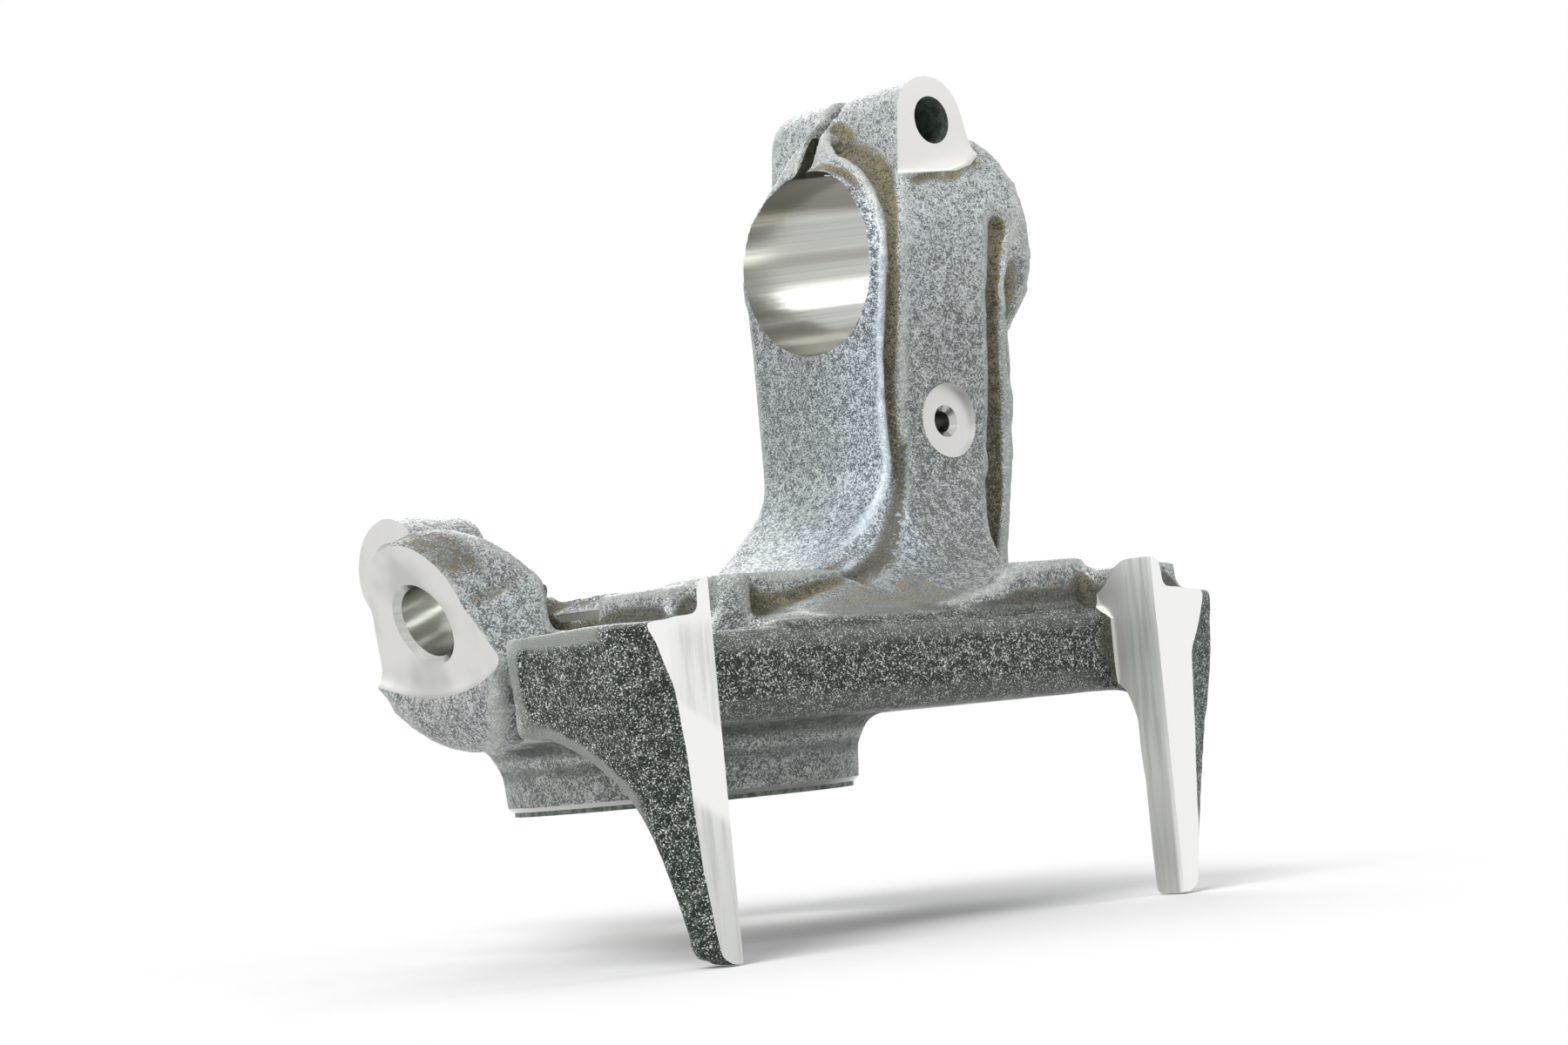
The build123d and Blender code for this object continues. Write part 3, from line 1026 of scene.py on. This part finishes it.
class Graph(dict[str, Socket]):
    """Short hand for laying out the nodes of one material, or of the world.

    It holds the sockets of what the colours depend on, such as the coordinates, by name.
    """

    def __init__(self, owner: bpy.types.Material | bpy.types.World) -> None:
        """Starts without any nodes.

        Args:
            owner: the new material or world.
        """
        super().__init__()
        owner.use_nodes = True
        self.owner = owner
        self.tree = owner.node_tree
        self.tree.nodes.clear()

    def node(self, kind: str, **settings: object) -> bpy.types.Node:
        """Adds a node.

        Args:
            kind: its bl_idname.
            settings: attributes to set on it.

        Returns:
            The node.
        """
        made = self.tree.nodes.new(kind)
        for name, value in settings.items():
            setattr(made, name, value)
        return made

    def feed(self, target: Socket, value: Value | Colour) -> None:
        """Sets a socket to a number or colour, or links a socket to it.

        Args:
            target: the socket that is fed.
            value: what it gets.
        """
        if isinstance(value, Socket):
            self.tree.links.new(value, target)
        else:
            target.default_value = value

    def place(self, scale: Point = (1, 1, 1)) -> Socket:
        """Object coordinates, stretched along each axis.

        Args:
            scale: the stretch along each axis.

        Returns:
            The vector socket.
        """
        mapping = self.node("ShaderNodeMapping")
        mapping.inputs["Scale"].default_value = scale
        self.feed(mapping.inputs["Vector"], self.node("ShaderNodeTexCoord").outputs["Object"])
        return mapping.outputs["Vector"]

    def axes(self, vector: Socket) -> dict[str, Socket]:
        """Takes a vector apart.

        Args:
            vector: its socket.

        Returns:
            The sockets of its x, y and z.
        """
        parts = self.node("ShaderNodeSeparateXYZ")
        self.feed(parts.inputs[0], vector)
        return dict(zip("xyz", parts.outputs))

    def grain(self, where: Socket, size: float, detail: float = 3, rough: float = 0.6) -> Socket:
        """Noise with features of about a given size.

        Args:
            where: the coordinates.
            size: the size of the features in metres.
            detail: how many finer layers it has.
            rough: how strong they are.

        Returns:
            The value socket.
        """
        made = self.node("ShaderNodeTexNoise")
        for name, value in (("Vector", where), ("Scale", 1 / size), ("Detail", detail), ("Roughness", rough)):
            self.feed(made.inputs[name], value)
        return made.outputs["Fac"]

    def ramp(self, value: Socket, low: float, high: float, start: float = 0.0, end: float = 1.0) -> Socket:
        """Maps a value from one range to another with soft ends.

        Args:
            value: what is mapped.
            low: the value that gives start.
            high: the value that gives end.
            start: the result at low and before it.
            end: the result at high and past it.

        Returns:
            The value socket.
        """
        made = self.node("ShaderNodeMapRange", interpolation_type="SMOOTHSTEP")
        self.feed(made.inputs["Value"], value)
        for name, number in zip(("From Min", "From Max", "To Min", "To Max"), (low, high, start, end)):
            made.inputs[name].default_value = number
        return made.outputs["Result"]

    def fade(self, value: Socket, low: float, high: float, start: float = 0.0, end: float = 1.0) -> Socket:
        """A ramp over millimetres. Its arguments are those of ramp."""
        return self.ramp(value, low * MM, high * MM, start, end)

    def within(self, sides: Sides) -> Socket:
        """One inside a region and nought outside it.

        Args:
            sides: each soft side's measure, and the millimetres at which it gives nought and one.

        Returns:
            The share.
        """
        return self.times(*(self.fade(self[name], nought, one) for name, nought, one in sides))

    def chain(self, operation: str, *values: Value) -> Socket:
        """Carries one kind of arithmetic through several values.

        Args:
            operation: the Math node's operation.
            values: two or more numbers or sockets.

        Returns:
            The value socket.
        """
        total, *others = values
        for value in others:
            made = self.node("ShaderNodeMath", operation=operation)
            self.feed(made.inputs[0], total)
            self.feed(made.inputs[1], value)
            total = made.outputs[0]
        return total

    def times(self, *values: Value) -> Socket:
        """The product of the values."""
        return self.chain("MULTIPLY", *values)

    def plus(self, *values: Value) -> Socket:
        """The sum of the values."""
        return self.chain("ADD", *values)

    def less(self, first: Value, second: Value) -> Socket:
        """The first value less the second."""
        return self.chain("SUBTRACT", first, second)

    def most(self, *values: Value) -> Socket:
        """The largest of the values."""
        return self.chain("MAXIMUM", *values)

    def rest(self, share: Value) -> Socket:
        """What a share leaves of one."""
        return self.less(1.0, share)

    def seen(self) -> Socket:
        """One for what the camera sees, also in gloss and through glass, and nought for other light."""
        paths = self.node("ShaderNodeLightPath")
        return self.most(*(paths.outputs[f"Is {kind} Ray"] for kind in ("Camera", "Glossy", "Transmission")))

    def blend(self, share: Socket, first: Socket | Colour, second: Socket | Colour) -> Socket:
        """Mixes two colours.

        Args:
            share: how much of the second.
            first: a colour or a socket.
            second: a colour or a socket.

        Returns:
            The colour socket.
        """
        made = self.node("ShaderNodeMix", data_type="RGBA")
        self.feed(made.inputs["Factor"], share)
        self.feed(made.inputs[6], first)
        self.feed(made.inputs[7], second)
        return made.outputs[2]

    def bump(self, height: Socket, depth: float, under: Socket | None = None) -> Socket:
        """Small relief.

        Args:
            height: from 0 to 1.
            depth: what 1 stands for, in metres.
            under: the normal of a coarser relief below it.

        Returns:
            The normal socket.
        """
        made = self.node("ShaderNodeBump")
        inputs = {"Strength": 1, "Distance": depth, "Height": height}
        if under is not None:
            inputs["Normal"] = under
        for name, value in inputs.items():
            self.feed(made.inputs[name], value)
        return made.outputs["Normal"]

    def shade(
        self, colour: Socket, rough: Value, metal: Value, normal: Socket, specular: float = 0.5
    ) -> bpy.types.Material:
        """Closes the material with a Principled shader.

        Args:
            colour: its base colour.
            rough: its roughness.
            metal: how metallic it is.
            normal: its normal socket.
            specular: how strong its plain gloss is.

        Returns:
            The material.
        """
        shader = self.node("ShaderNodeBsdfPrincipled")
        shader.inputs["Specular IOR Level"].default_value = specular
        inputs = {"Base Color": colour, "Roughness": rough, "Metallic": metal, "Normal": normal}
        for name, value in inputs.items():
            self.feed(shader.inputs[name], value)
        self.feed(self.node("ShaderNodeOutputMaterial").inputs["Surface"], shader.outputs["BSDF"])
        return self.owner


@dataclass(frozen=True)
class CastSkin:
    """Sand-cast iron, cleaned by shot blasting: grey grains with painted glints, olive dirt and painted
    shade in its creases, and painted light and shade on the flange's front, barrel and brake side.

    A region lists its soft sides, as Graph.within takes them. The measures are the coordinates x, y
    and z, the distance from the middle of the flange's foot, and the way out along the ball joint lug.
    """

    dark: Colour = (0.115, 0.130, 0.127, 1)
    light: Colour = (0.520, 0.560, 0.555, 1)
    # near white of the painted glints
    glint: Colour = (0.80, 0.82, 0.82, 1)
    # dark and light grains of the painted shade on the brake side
    soot: Colour = (0.008, 0.016, 0.011, 1)
    painted_shade_light: Colour = (0.150, 0.176, 0.156, 1)
    # lighter colour of the painted light on the barrel, also used on lightened convex edges
    smooth: Colour = (0.460, 0.490, 0.465, 1)
    # colour of the painted highlights on the brake side's lips and brows
    lit_lip: Colour = (0.250, 0.275, 0.255, 1)
    hollow: Colour = (0.100, 0.120, 0.138, 1)
    # blue-white of the painted light on the flange's front
    pale: Colour = (0.730, 0.820, 0.890, 1)
    dirt: Colour = (0.260, 0.215, 0.105, 1)
    # near black of the painted shade in deep creases, and the dark grains of the dirt
    dirt_and_shade_dark: Colour = (0.045, 0.043, 0.026, 1)
    grain_size: float = 0.8 * MM
    mottle_size: float = 2.6 * MM
    patch_size: float = 14 * MM
    tone_shares: tuple[tuple[str, float], ...] = (("grain", 0.42), ("fine", 0.26), ("mottle", 0.32))
    foot: tuple[tuple[str, float], ...] = (("x", 23), ("z", 95))
    lug: tuple[tuple[str, float], ...] = (("x", -0.927), ("z", -0.375))
    arm: Sides = (("x", 10, 30), ("z", 46, 58))
    front: Sides = (("x", 20.5, 23.5), ("x", 63, 60), ("z", 46, 66))
    barrel: Sides = (("y", -61, -55), ("y", 103, 97), ("z", 18, 13))
    groove: Sides = (
        ("x", 60.3, 63.3), ("x", 72.5, 69.5), ("y", -13.5, -16.5), ("z", 81, 91), ("z", 176, 166),
    )
    trench: Sides = (
        ("x", 97.5, 100.5), ("x", 113.5, 110.5), ("y", -15.5, -18.5), ("z", 46, 54), ("z", 154, 146),
    )
    ring: Sides = (
        ("from_foot", 41.5, 43.9), ("from_foot", 46.5, 44.1), ("y", -14, -18), ("z", 92, 86),
        ("x", 24, 32),
    )
    lug_top: Sides = (("along_lug", 39, 46), ("z", 56, 62))
    arm_side: Sides = (
        ("x", 46, 50), ("x", 100, 96), ("from_foot", 45.4, 48.4), ("z", 43, 49), ("z", 93, 87),
        ("y", -62, -58), ("y", -19, -23),
    )

    def measure(self, g: Graph) -> None:
        """Lays out what the colours of the skin depend on.

        Args:
            g: the material's graph, which gets the measures, the noises and the first shares.
        """
        where = g.place()
        g.update(g.axes(where))
        squares = [g.chain("POWER", g.less(g[axis], at * MM), 2) for axis, at in self.foot]
        g["from_foot"] = g.chain("SQRT", g.plus(*squares), 0)
        g["along_lug"] = g.plus(*(g.times(g[axis], share) for axis, share in self.lug))
        g["grain"] = g.grain(where, self.grain_size, 2, 0.6)
        g["fine"] = g.grain(where, self.grain_size * 0.5, 1, 0.5)
        g["mottle"] = g.grain(where, self.mottle_size, 3, 0.65)
        g["patch"] = g.grain(where, self.patch_size, 3, 0.6)
        g["crease"] = g.node("ShaderNodeAttribute", attribute_name="crease").outputs["Fac"]
        g["up"] = g.axes(g.node("ShaderNodeTexCoord").outputs["Normal"])["z"]
        g["front"] = g.within(self.front)
        g["ring"] = g.within(self.ring)
        g["lug_top"] = g.within(self.lug_top)
        g["tone"] = self.tone(g)
        # painted light on the flange's front: lighter towards -Y and downwards
        lit = g.plus(g.fade(g["y"], 6, -20, 0.05, 0.95), g.fade(g["z"], 92, 62, 0, 0.4))
        g["blasted"] = g.times(g["front"], g.chain("MINIMUM", lit, 1.0))
        # painted shade: the brake side in front of y -57 and below z 43 made black-green, with a ragged edge
        reach = g.plus(g["y"], g.ramp(g["patch"], 0.35, 0.65, -3 * MM, 3 * MM))
        g["sooty"] = g.times(g.fade(reach, -57, -64), g.fade(g["z"], 43, 38.5))

    def tone(self, g: Graph) -> Socket:
        """How light the grains are. Painted light and shade by height make the strut arm darker low down
        and lighter higher up, and the front of its flange darker upwards.

        Args:
            g: the material's graph, with its measures.

        Returns:
            The tone, about one half.
        """
        grains = g.plus(*(g.times(g[name], share) for name, share in self.tone_shares))
        # painted light and shade by height on the strut arm
        height_light = g.times(g.fade(g["z"], 55, 175, -0.035, 0.028), g.within(self.arm), g.rest(g["front"]))
        # painted shade: the flange's front darker upwards
        front_height_shade = g.times(g["front"], g.fade(g["z"], 85, 110, 0, -0.018))
        return g.plus(grains, height_light, front_height_shade)

    def lit_iron(self, g: Graph) -> Socket:
        """The iron's grain colour, with painted light on the flange's front and on the hub's barrel.

        Args:
            g: the material's graph, with its measures.

        Returns:
            The colour socket.
        """
        shade = g.ramp(g["tone"], 0.41, 0.60)
        base = g.blend(shade, self.dark, self.light)
        # painted light on the flange's front
        base = g.blend(g.times(g["blasted"], 0.85), base, g.blend(shade, self.hollow, self.pale))
        # painted light: the barrel, in shade under the beam, is made lighter and less grainy
        barrel = g.times(g.within(self.barrel), 0.8)
        return g.blend(barrel, base, g.blend(shade, self.dark, self.smooth))

    def painted_highlights(self, g: Graph) -> Socket:
        """Where the brake side's painted shade gets painted highlights: on its lips, and where it turns
        towards the top.

        Args:
            g: the material's graph, with its measures.

        Returns:
            The share.
        """
        # painted light where the surface turns upwards, and painted highlights along the lips, stronger on
        # the outer cheeks
        brow = g.times(g.ramp(g["up"], 0.25, 0.55), g.ramp(g["up"], 0.85, 0.55), 0.35)
        cheek = g.fade(g.most(g["x"], g.times(g["x"], -1)), 77, 82)
        lit_lip = g.times(g.ramp(g["crease"], -0.08, -0.28), g.fade(g["y"], -95, -91.5, 0, 0.9))
        lit_lip = g.times(lit_lip, g.plus(0.25, g.times(cheek, 0.75)))
        return g.times(g["sooty"], g.most(lit_lip, brow))

    def painted_light_and_wear(self, g: Graph, base: Socket) -> Socket:
        """Paints shade on the brake side, paints highlights on its lips and brows, lightens convex edges
        with wear and painted highlight, and paints glints on single grains.

        Args:
            g: the material's graph, with its measures.
            base: the iron's own colour.

        Returns:
            The colour socket.
        """
        # painted shade on the brake side
        base = g.blend(g["sooty"], base, g.blend(g.ramp(g["tone"], 0.44, 0.62), self.soot, self.painted_shade_light))
        # painted highlights on the brake side's lips and brows
        painted_highlights = self.painted_highlights(g)
        base = g.blend(painted_highlights, base, self.lit_lip)
        # convex edges made lighter: wear, and painted highlight where a rounded edge catches the light
        edge = g.times(g.ramp(g["crease"], -0.10, -0.40), g.less(0.6, g.times(g["sooty"], 0.6)))
        base = g.blend(edge, base, g.blend(g["blasted"], self.smooth, self.pale))
        # painted glints: single grains made near white, more of them in the brake side's painted shade
        glint_specks = g.ramp(g.plus(g["fine"], g.ramp(g["mottle"], 0.35, 0.65, -0.03, 0.03)), 0.60, 0.67)
        glint_specks = g.times(glint_specks, g.plus(0.35, g.times(g["sooty"], 0.5)))
        return g.blend(g.times(glint_specks, g.rest(painted_highlights)), base, self.glint)

    def dirt_and_shade(self, g: Graph) -> Socket:
        """Where dirt and painted shade lie: in creases, in the groove behind the flange and round its
        foot, and on top.

        Args:
            g: the material's graph, with its measures.

        Returns:
            The share.
        """
        settled = g.times(g.ramp(g["up"], 0.55, 0.9), g.fade(g["z"], 100, 90))
        groove = g.most(g.within(self.groove), g.within(self.trench))
        laid = g.most(g.times(groove, 0.17), g.times(settled, 0.12))
        # the front of the flange stays clean, and so does the arm's side outside the ring of dirt
        # and painted shade
        clean = g.times(g.rest(g["front"]), g.rest(g.times(g.within(self.arm_side), 0.92)))
        lying = g.times(g.plus(g["crease"], laid), clean)
        lying = g.most(lying, g.times(g["ring"], 0.31), g.times(g["lug_top"], 0.19))
        ragged = g.plus(g.ramp(g["grain"], 0.3, 0.7, -0.16, 0.16), g.ramp(g["mottle"], 0.3, 0.7, -0.14, 0.14))
        ragged = g.times(ragged, g.ramp(lying, 0.02, 0.12))
        return g.ramp(g.plus(lying, ragged), 0.11, 0.24, 0, 0.88)

    def dirt_and_shade_colour(self, g: Graph) -> Socket:
        """The dirt's own colour, with painted shade that darkens it to near black in deep creases, in
        the ring round the flange's foot and on the lug's top.

        Args:
            g: the material's graph, with its measures.

        Returns:
            The colour socket.
        """
        # below the hub's top the dirt takes the painted shade's black-green
        olive = g.blend(g.fade(g["z"], 40, 46), self.painted_shade_light, self.dirt)
        dirt_and_shade_colour = g.blend(g.ramp(g["tone"], 0.42, 0.58), self.dirt_and_shade_dark, olive)
        # painted shade: deep creases, the ring and the lug's top darkened to near black
        deep = g.ramp(g.plus(g["crease"], g.ramp(g["mottle"], 0.35, 0.65, -0.08, 0.08)), 0.14, 0.30)
        deep = g.times(deep, g.fade(g["z"], 42, 48, 0.8, 0.3))
        deep = g.most(deep, g.times(g["ring"], 0.8), g.times(g["lug_top"], 0.6))
        return g.blend(deep, dirt_and_shade_colour, self.dirt_and_shade_dark)

    def build(self) -> bpy.types.Material:
        """Makes the material.

        Returns:
            The material.
        """
        g = Graph(bpy.data.materials.new("cast_iron_skin"))
        self.measure(g)
        dirt_and_shade = self.dirt_and_shade(g)
        base = g.blend(dirt_and_shade, self.painted_light_and_wear(g, self.lit_iron(g)), self.dirt_and_shade_colour(g))
        relief = g.bump(g["fine"], 0.12 * MM, g.bump(g["grain"], 0.26 * MM))
        rough = g.plus(g.ramp(g["fine"], 0.3, 0.7, 0.54, 0.36), g.times(dirt_and_shade, 0.25))
        dull = g.most(dirt_and_shade, g.times(g["sooty"], 0.5))
        return g.shade(base, rough, g.less(0.38, g.times(dull, 0.38)), relief, 0.35)


@dataclass(frozen=True)
class MilledFace:
    """Bright milled iron with fine cutter marks, which the pads score on both arms, and with painted
    reflections on the guides.
    """

    colour: Colour = (0.68, 0.675, 0.65, 1)
    # colour of random darker patches, and of the painted shade low on the guides
    aged_and_shaded: Colour = (0.44, 0.445, 0.425, 1)
    shadow: Colour = (0.80, 0.81, 0.79, 1)
    scored: Colour = (0.63, 0.64, 0.62, 1)
    # near white of the painted reflections on the guides
    painted_reflection: Colour = (0.90, 0.90, 0.89, 1)
    mark_size: float = 2.6 * MM
    cloud_size: float = 18 * MM
    score_size: float = 1.7 * MM
    guides: Sides = (("y", -88, -93),)
    left: Sides = (("x", 0, -10), ("slope", -7, -3))
    right: Sides = (("x", 0, 10), ("y", -99, -100.4))
    # the wedge of the left guide that the painted reflection leaves out
    reflection_gap: Sides = (("slope", 14.5, 17), ("z", 42, 36))

    def drawn(self, g: Graph) -> Socket:
        """The colour of the guides, scored along the way the pads slide, with painted shade darker
        downwards.

        Args:
            g: the material's graph, with the coordinates.

        Returns:
            The colour socket.
        """
        scores = g.grain(g.place((1, 1, 0.06)), self.score_size, 3, 0.6)
        drawn = g.blend(g.ramp(scores, 0.36, 0.58), self.scored, self.shadow)
        # painted shade: the guides darker towards the bottom, more on the right arm
        guide_low_shade = g.times(g.fade(g["z"], 20, -30, 0, 0.75), g.fade(g["x"], -10, 10, 0.5, 1))
        return g.blend(guide_low_shade, drawn, self.aged_and_shaded)

    def reflected(self, g: Graph, guides: Socket) -> Socket:
        """Where painted reflections brighten the guides: the left guide above a sloping line, save a wedge,
        and the right front.

        Args:
            g: the material's graph, with the coordinates.
            guides: one on the guides.

        Returns:
            The share.
        """
        g["slope"] = g.plus(g["z"], g.times(g.plus(g["x"], GUIDE_X * MM), 0.6))
        # a wedge of the left guide that the painted reflection leaves out
        reflection_gap = g.times(g.within(self.reflection_gap), g.fade(g["x"], -88, -84, 0, 0.8))
        left = g.times(g.within(self.left), g.rest(reflection_gap))
        return g.times(guides, g.most(left, g.within(self.right)))

    def build(self) -> bpy.types.Material:
        """Makes the material.

        Returns:
            The material.
        """
        g = Graph(bpy.data.materials.new("milled_iron"))
        g.update(g.axes(g.place()))
        marks = g.grain(g.place((1, 1, 9)), self.mark_size, 3, 0.7)
        cloud = g.grain(g.place(), self.cloud_size, 2, 0.5)
        clouded = g.times(g.ramp(cloud, 0.62, 0.36), g.fade(g["x"], -20, -35), 0.7)
        base = g.blend(clouded, self.colour, self.aged_and_shaded)
        guides = g.within(self.guides)
        base = g.blend(guides, base, self.drawn(g))
        # painted reflection: near-white patches on the guides
        base = g.blend(self.reflected(g, guides), base, self.painted_reflection)
        return g.shade(base, g.ramp(marks, 0.3, 0.7, 0.44, 0.38), 0.75, g.bump(marks, 0.018 * MM))


@dataclass(frozen=True)
class BoredWall:
    """Turned iron, bright, with dark bands of painted reflection along the strut bore.

    A band gives its low and high edge in millimetres from the bore's axis, and how strong its
    painted darkening is.
    """

    colour: Colour = (0.56, 0.565, 0.53, 1)
    shadow: Colour = (0.47, 0.48, 0.45, 1)
    # colour of the painted reflection bands
    dark_reflection: Colour = (0.185, 0.175, 0.135, 1)
    reflection_bands: tuple[Point, ...] = ((-27, -17, 0.6), (2.4, 4.6, 0.45), (16, 27, 0.85))
    band_fade: float = 1.5
    ring_size: float = 3 * MM
    streak_size: float = 1.7 * MM
    wander_size: float = 26 * MM
    wander: float = 0.4 * MM

    def height(self, g: Graph) -> Socket:
        """How high a point lies over the strut bore's axis.

        Args:
            g: the material's graph, with the coordinates.

        Returns:
            The value socket, in metres.
        """
        x, _, z = CLAMP_FACE
        lean = g.times(g.less(g["x"], x * MM), math.tan(CLAMP_TILT))
        return g.less(g.less(g["z"], z * MM), lean)

    def build(self) -> bpy.types.Material:
        """Makes the material.

        Returns:
            The material.
        """
        g = Graph(bpy.data.materials.new("bored_iron"))
        where = g.place()
        g.update(g.axes(where))
        height = self.height(g)
        level = g.node("ShaderNodeCombineXYZ")
        g.feed(level.inputs["Z"], height)
        streaks = g.grain(level.outputs[0], self.streak_size, 3, 0.6)
        base = g.blend(g.ramp(streaks, 0.35, 0.65), self.shadow, self.colour)
        drift = g.ramp(g.grain(where, self.wander_size, 1, 0.5), 0.3, 0.7, -self.wander, self.wander)
        height = g.plus(height, drift)
        strut = g.fade(g["z"], 100, 108)
        fade = self.band_fade
        # painted reflection: dark olive bands at set heights in the strut bore
        for low, high, share in self.reflection_bands:
            rise = g.fade(height, low - fade, low + fade)
            fall = g.fade(height, high + fade, high - fade)
            base = g.blend(g.times(rise, fall, strut, share), base, self.dark_reflection)
        rings = g.grain(g.place((10, 1, 1)), self.ring_size, 2, 0.6)
        return g.shade(base, g.ramp(streaks, 0.3, 0.7, 0.22, 0.18), 0.95, g.bump(rings, 0.008 * MM))


@dataclass(frozen=True)
class DirtyCut:
    """Cut metal that has darkened, with some dirt on it."""

    name: str
    colour: Colour
    shadow: Colour
    metal: float
    cloud_size: float = 2.2 * MM

    def build(self) -> bpy.types.Material:
        """Makes the material.

        Returns:
            The material.
        """
        g = Graph(bpy.data.materials.new(self.name))
        cloud = g.grain(g.place(), self.cloud_size, 3, 0.6)
        base = g.blend(g.ramp(cloud, 0.40, 0.60), self.shadow, self.colour)
        return g.shade(base, g.ramp(cloud, 0.3, 0.7, 0.62, 0.46), self.metal, g.bump(cloud, 0.05 * MM))


# ------------------------------------------------------------------ studio


@dataclass(frozen=True)
class Lamp:
    """A square soft lamp: where it stands and what it points at, its side in metres, and its watts."""

    name: str
    at: Point
    aim: Point
    size: float
    watts: float

    def stand(self) -> None:
        """Adds the lamp to the scene."""
        data = bpy.data.lights.new(self.name, "AREA")
        data.size = self.size
        data.energy = self.watts
        made = bpy.data.objects.new(self.name, data)
        made.location = self.at
        made.rotation_euler = (Vector(self.aim) - Vector(self.at)).to_track_quat("-Z", "Y").to_euler()
        bpy.context.scene.collection.objects.link(made)


@dataclass(frozen=True)
class Studio:
    """Pale floor, white surroundings, soft lamps and the camera, with sizes in metres."""

    floor_z: float = -35.7 * MM
    floor_r: float = 3.0
    floor_colour: Colour = (0.86, 0.86, 0.86, 1)
    floor_fade: tuple[float, float] = (0.10, 0.25)
    white: Colour = (1, 1, 1, 1)
    surround: float = 0.45
    camera_at: Point = (-0.52544252, -0.61191194, 0.01287749)
    right: Point = (0.73309, -0.6735, -0.09475)
    up: Point = (0.02315, -0.11452, 0.99315)
    forward: Point = (0.67974, 0.73026, 0.06836)
    lens: float = 71.431
    lamps: tuple[Lamp, ...] = (
        Lamp("key", (-0.95, -0.35, 1.1), (0, 0, 0.06), 0.8, 16),
        Lamp("side", (0.84, -0.69, 0.76), (0.08, 0, 0.14), 0.42, 1.6),
        Lamp("back", (0.7, 0.9, 0.9), (0, 0, 0.06), 0.8, 8),
    )

    def floor(self) -> None:
        """Makes the floor."""
        bm = bmesh.new()
        bmesh.ops.create_circle(bm, cap_ends=True, radius=self.floor_r, segments=96)
        bmesh.ops.translate(bm, vec=(0, 0, self.floor_z), verts=bm.verts)
        mesh = bpy.data.meshes.new("floor")
        bm.to_mesh(mesh)
        bm.free()
        mesh.materials.append(self.floor_material())
        made = bpy.data.objects.new("floor", mesh)
        bpy.context.scene.collection.objects.link(made)

    def floor_material(self) -> bpy.types.Material:
        """Matt white that fades into the white surroundings away from the object.

        Returns:
            The material.
        """
        g = Graph(bpy.data.materials.new("pale_floor"))
        length = g.node("ShaderNodeVectorMath", operation="LENGTH")
        g.feed(length.inputs[0], g.place())
        matt = g.node("ShaderNodeBsdfDiffuse")
        matt.inputs["Color"].default_value = self.floor_colour
        white = g.node("ShaderNodeEmission")
        white.inputs["Color"].default_value = self.white
        mix = g.node("ShaderNodeMixShader")
        g.feed(mix.inputs[0], g.times(g.ramp(length.outputs["Value"], *self.floor_fade), g.seen()))
        g.feed(mix.inputs[1], matt.outputs[0])
        g.feed(mix.inputs[2], white.outputs[0])
        g.feed(g.node("ShaderNodeOutputMaterial").inputs["Surface"], mix.outputs[0])
        return g.owner

    def world(self) -> None:
        """White surroundings for the camera and for reflections, a plain level for everything else."""
        world = bpy.data.worlds.new("studio")
        bpy.context.scene.world = world
        g = Graph(world)
        level = g.node("ShaderNodeMapRange")
        level.inputs["To Min"].default_value = self.surround
        level.inputs["To Max"].default_value = 1.0
        g.feed(level.inputs["Value"], g.seen())
        light = g.node("ShaderNodeBackground")
        light.inputs["Color"].default_value = self.white
        g.feed(light.inputs["Strength"], level.outputs[0])
        g.feed(g.node("ShaderNodeOutputWorld").inputs["Surface"], light.outputs[0])

    def camera(self) -> None:
        """Adds the camera at the calibrated place."""
        data = bpy.data.cameras.new("camera")
        data.lens = self.lens
        data.sensor_width = 36
        data.clip_start, data.clip_end = 0.01, 20
        made = bpy.data.objects.new("camera", data)
        turn = Matrix((Vector(self.right), Vector(self.up), -Vector(self.forward))).transposed()
        made.matrix_world = Matrix.Translation(self.camera_at) @ turn.to_4x4()
        bpy.context.scene.collection.objects.link(made)
        bpy.context.scene.camera = made

    def build(self) -> None:
        """Sets up the studio."""
        self.floor()
        self.world()
        for lamp in self.lamps:
            lamp.stand()
        self.camera()
        bpy.context.scene.view_settings.view_transform = "Standard"


def main() -> None:
    """Builds the knuckle and its studio."""
    logging.basicConfig(level=logging.INFO, format="%(name)s: %(message)s")
    sawn = DirtyCut("sawn_iron", (0.085, 0.082, 0.055, 1), (0.030, 0.031, 0.020, 1), 0.2)
    # this finish also paints shade on the spigot's wall
    oiled_and_shaded = DirtyCut("oiled_and_shaded_iron", (0.17, 0.21, 0.17, 1), (0.07, 0.095, 0.075, 1), 0.4)
    materials = tuple(finish.build() for finish in (CastSkin(), MilledFace(), BoredWall(), sawn, oiled_and_shaded))
    knuckle = Knuckle(materials).build()
    log.info("%s is done", knuckle.name)
    Studio().build()


if __name__ == "__main__":
    main()
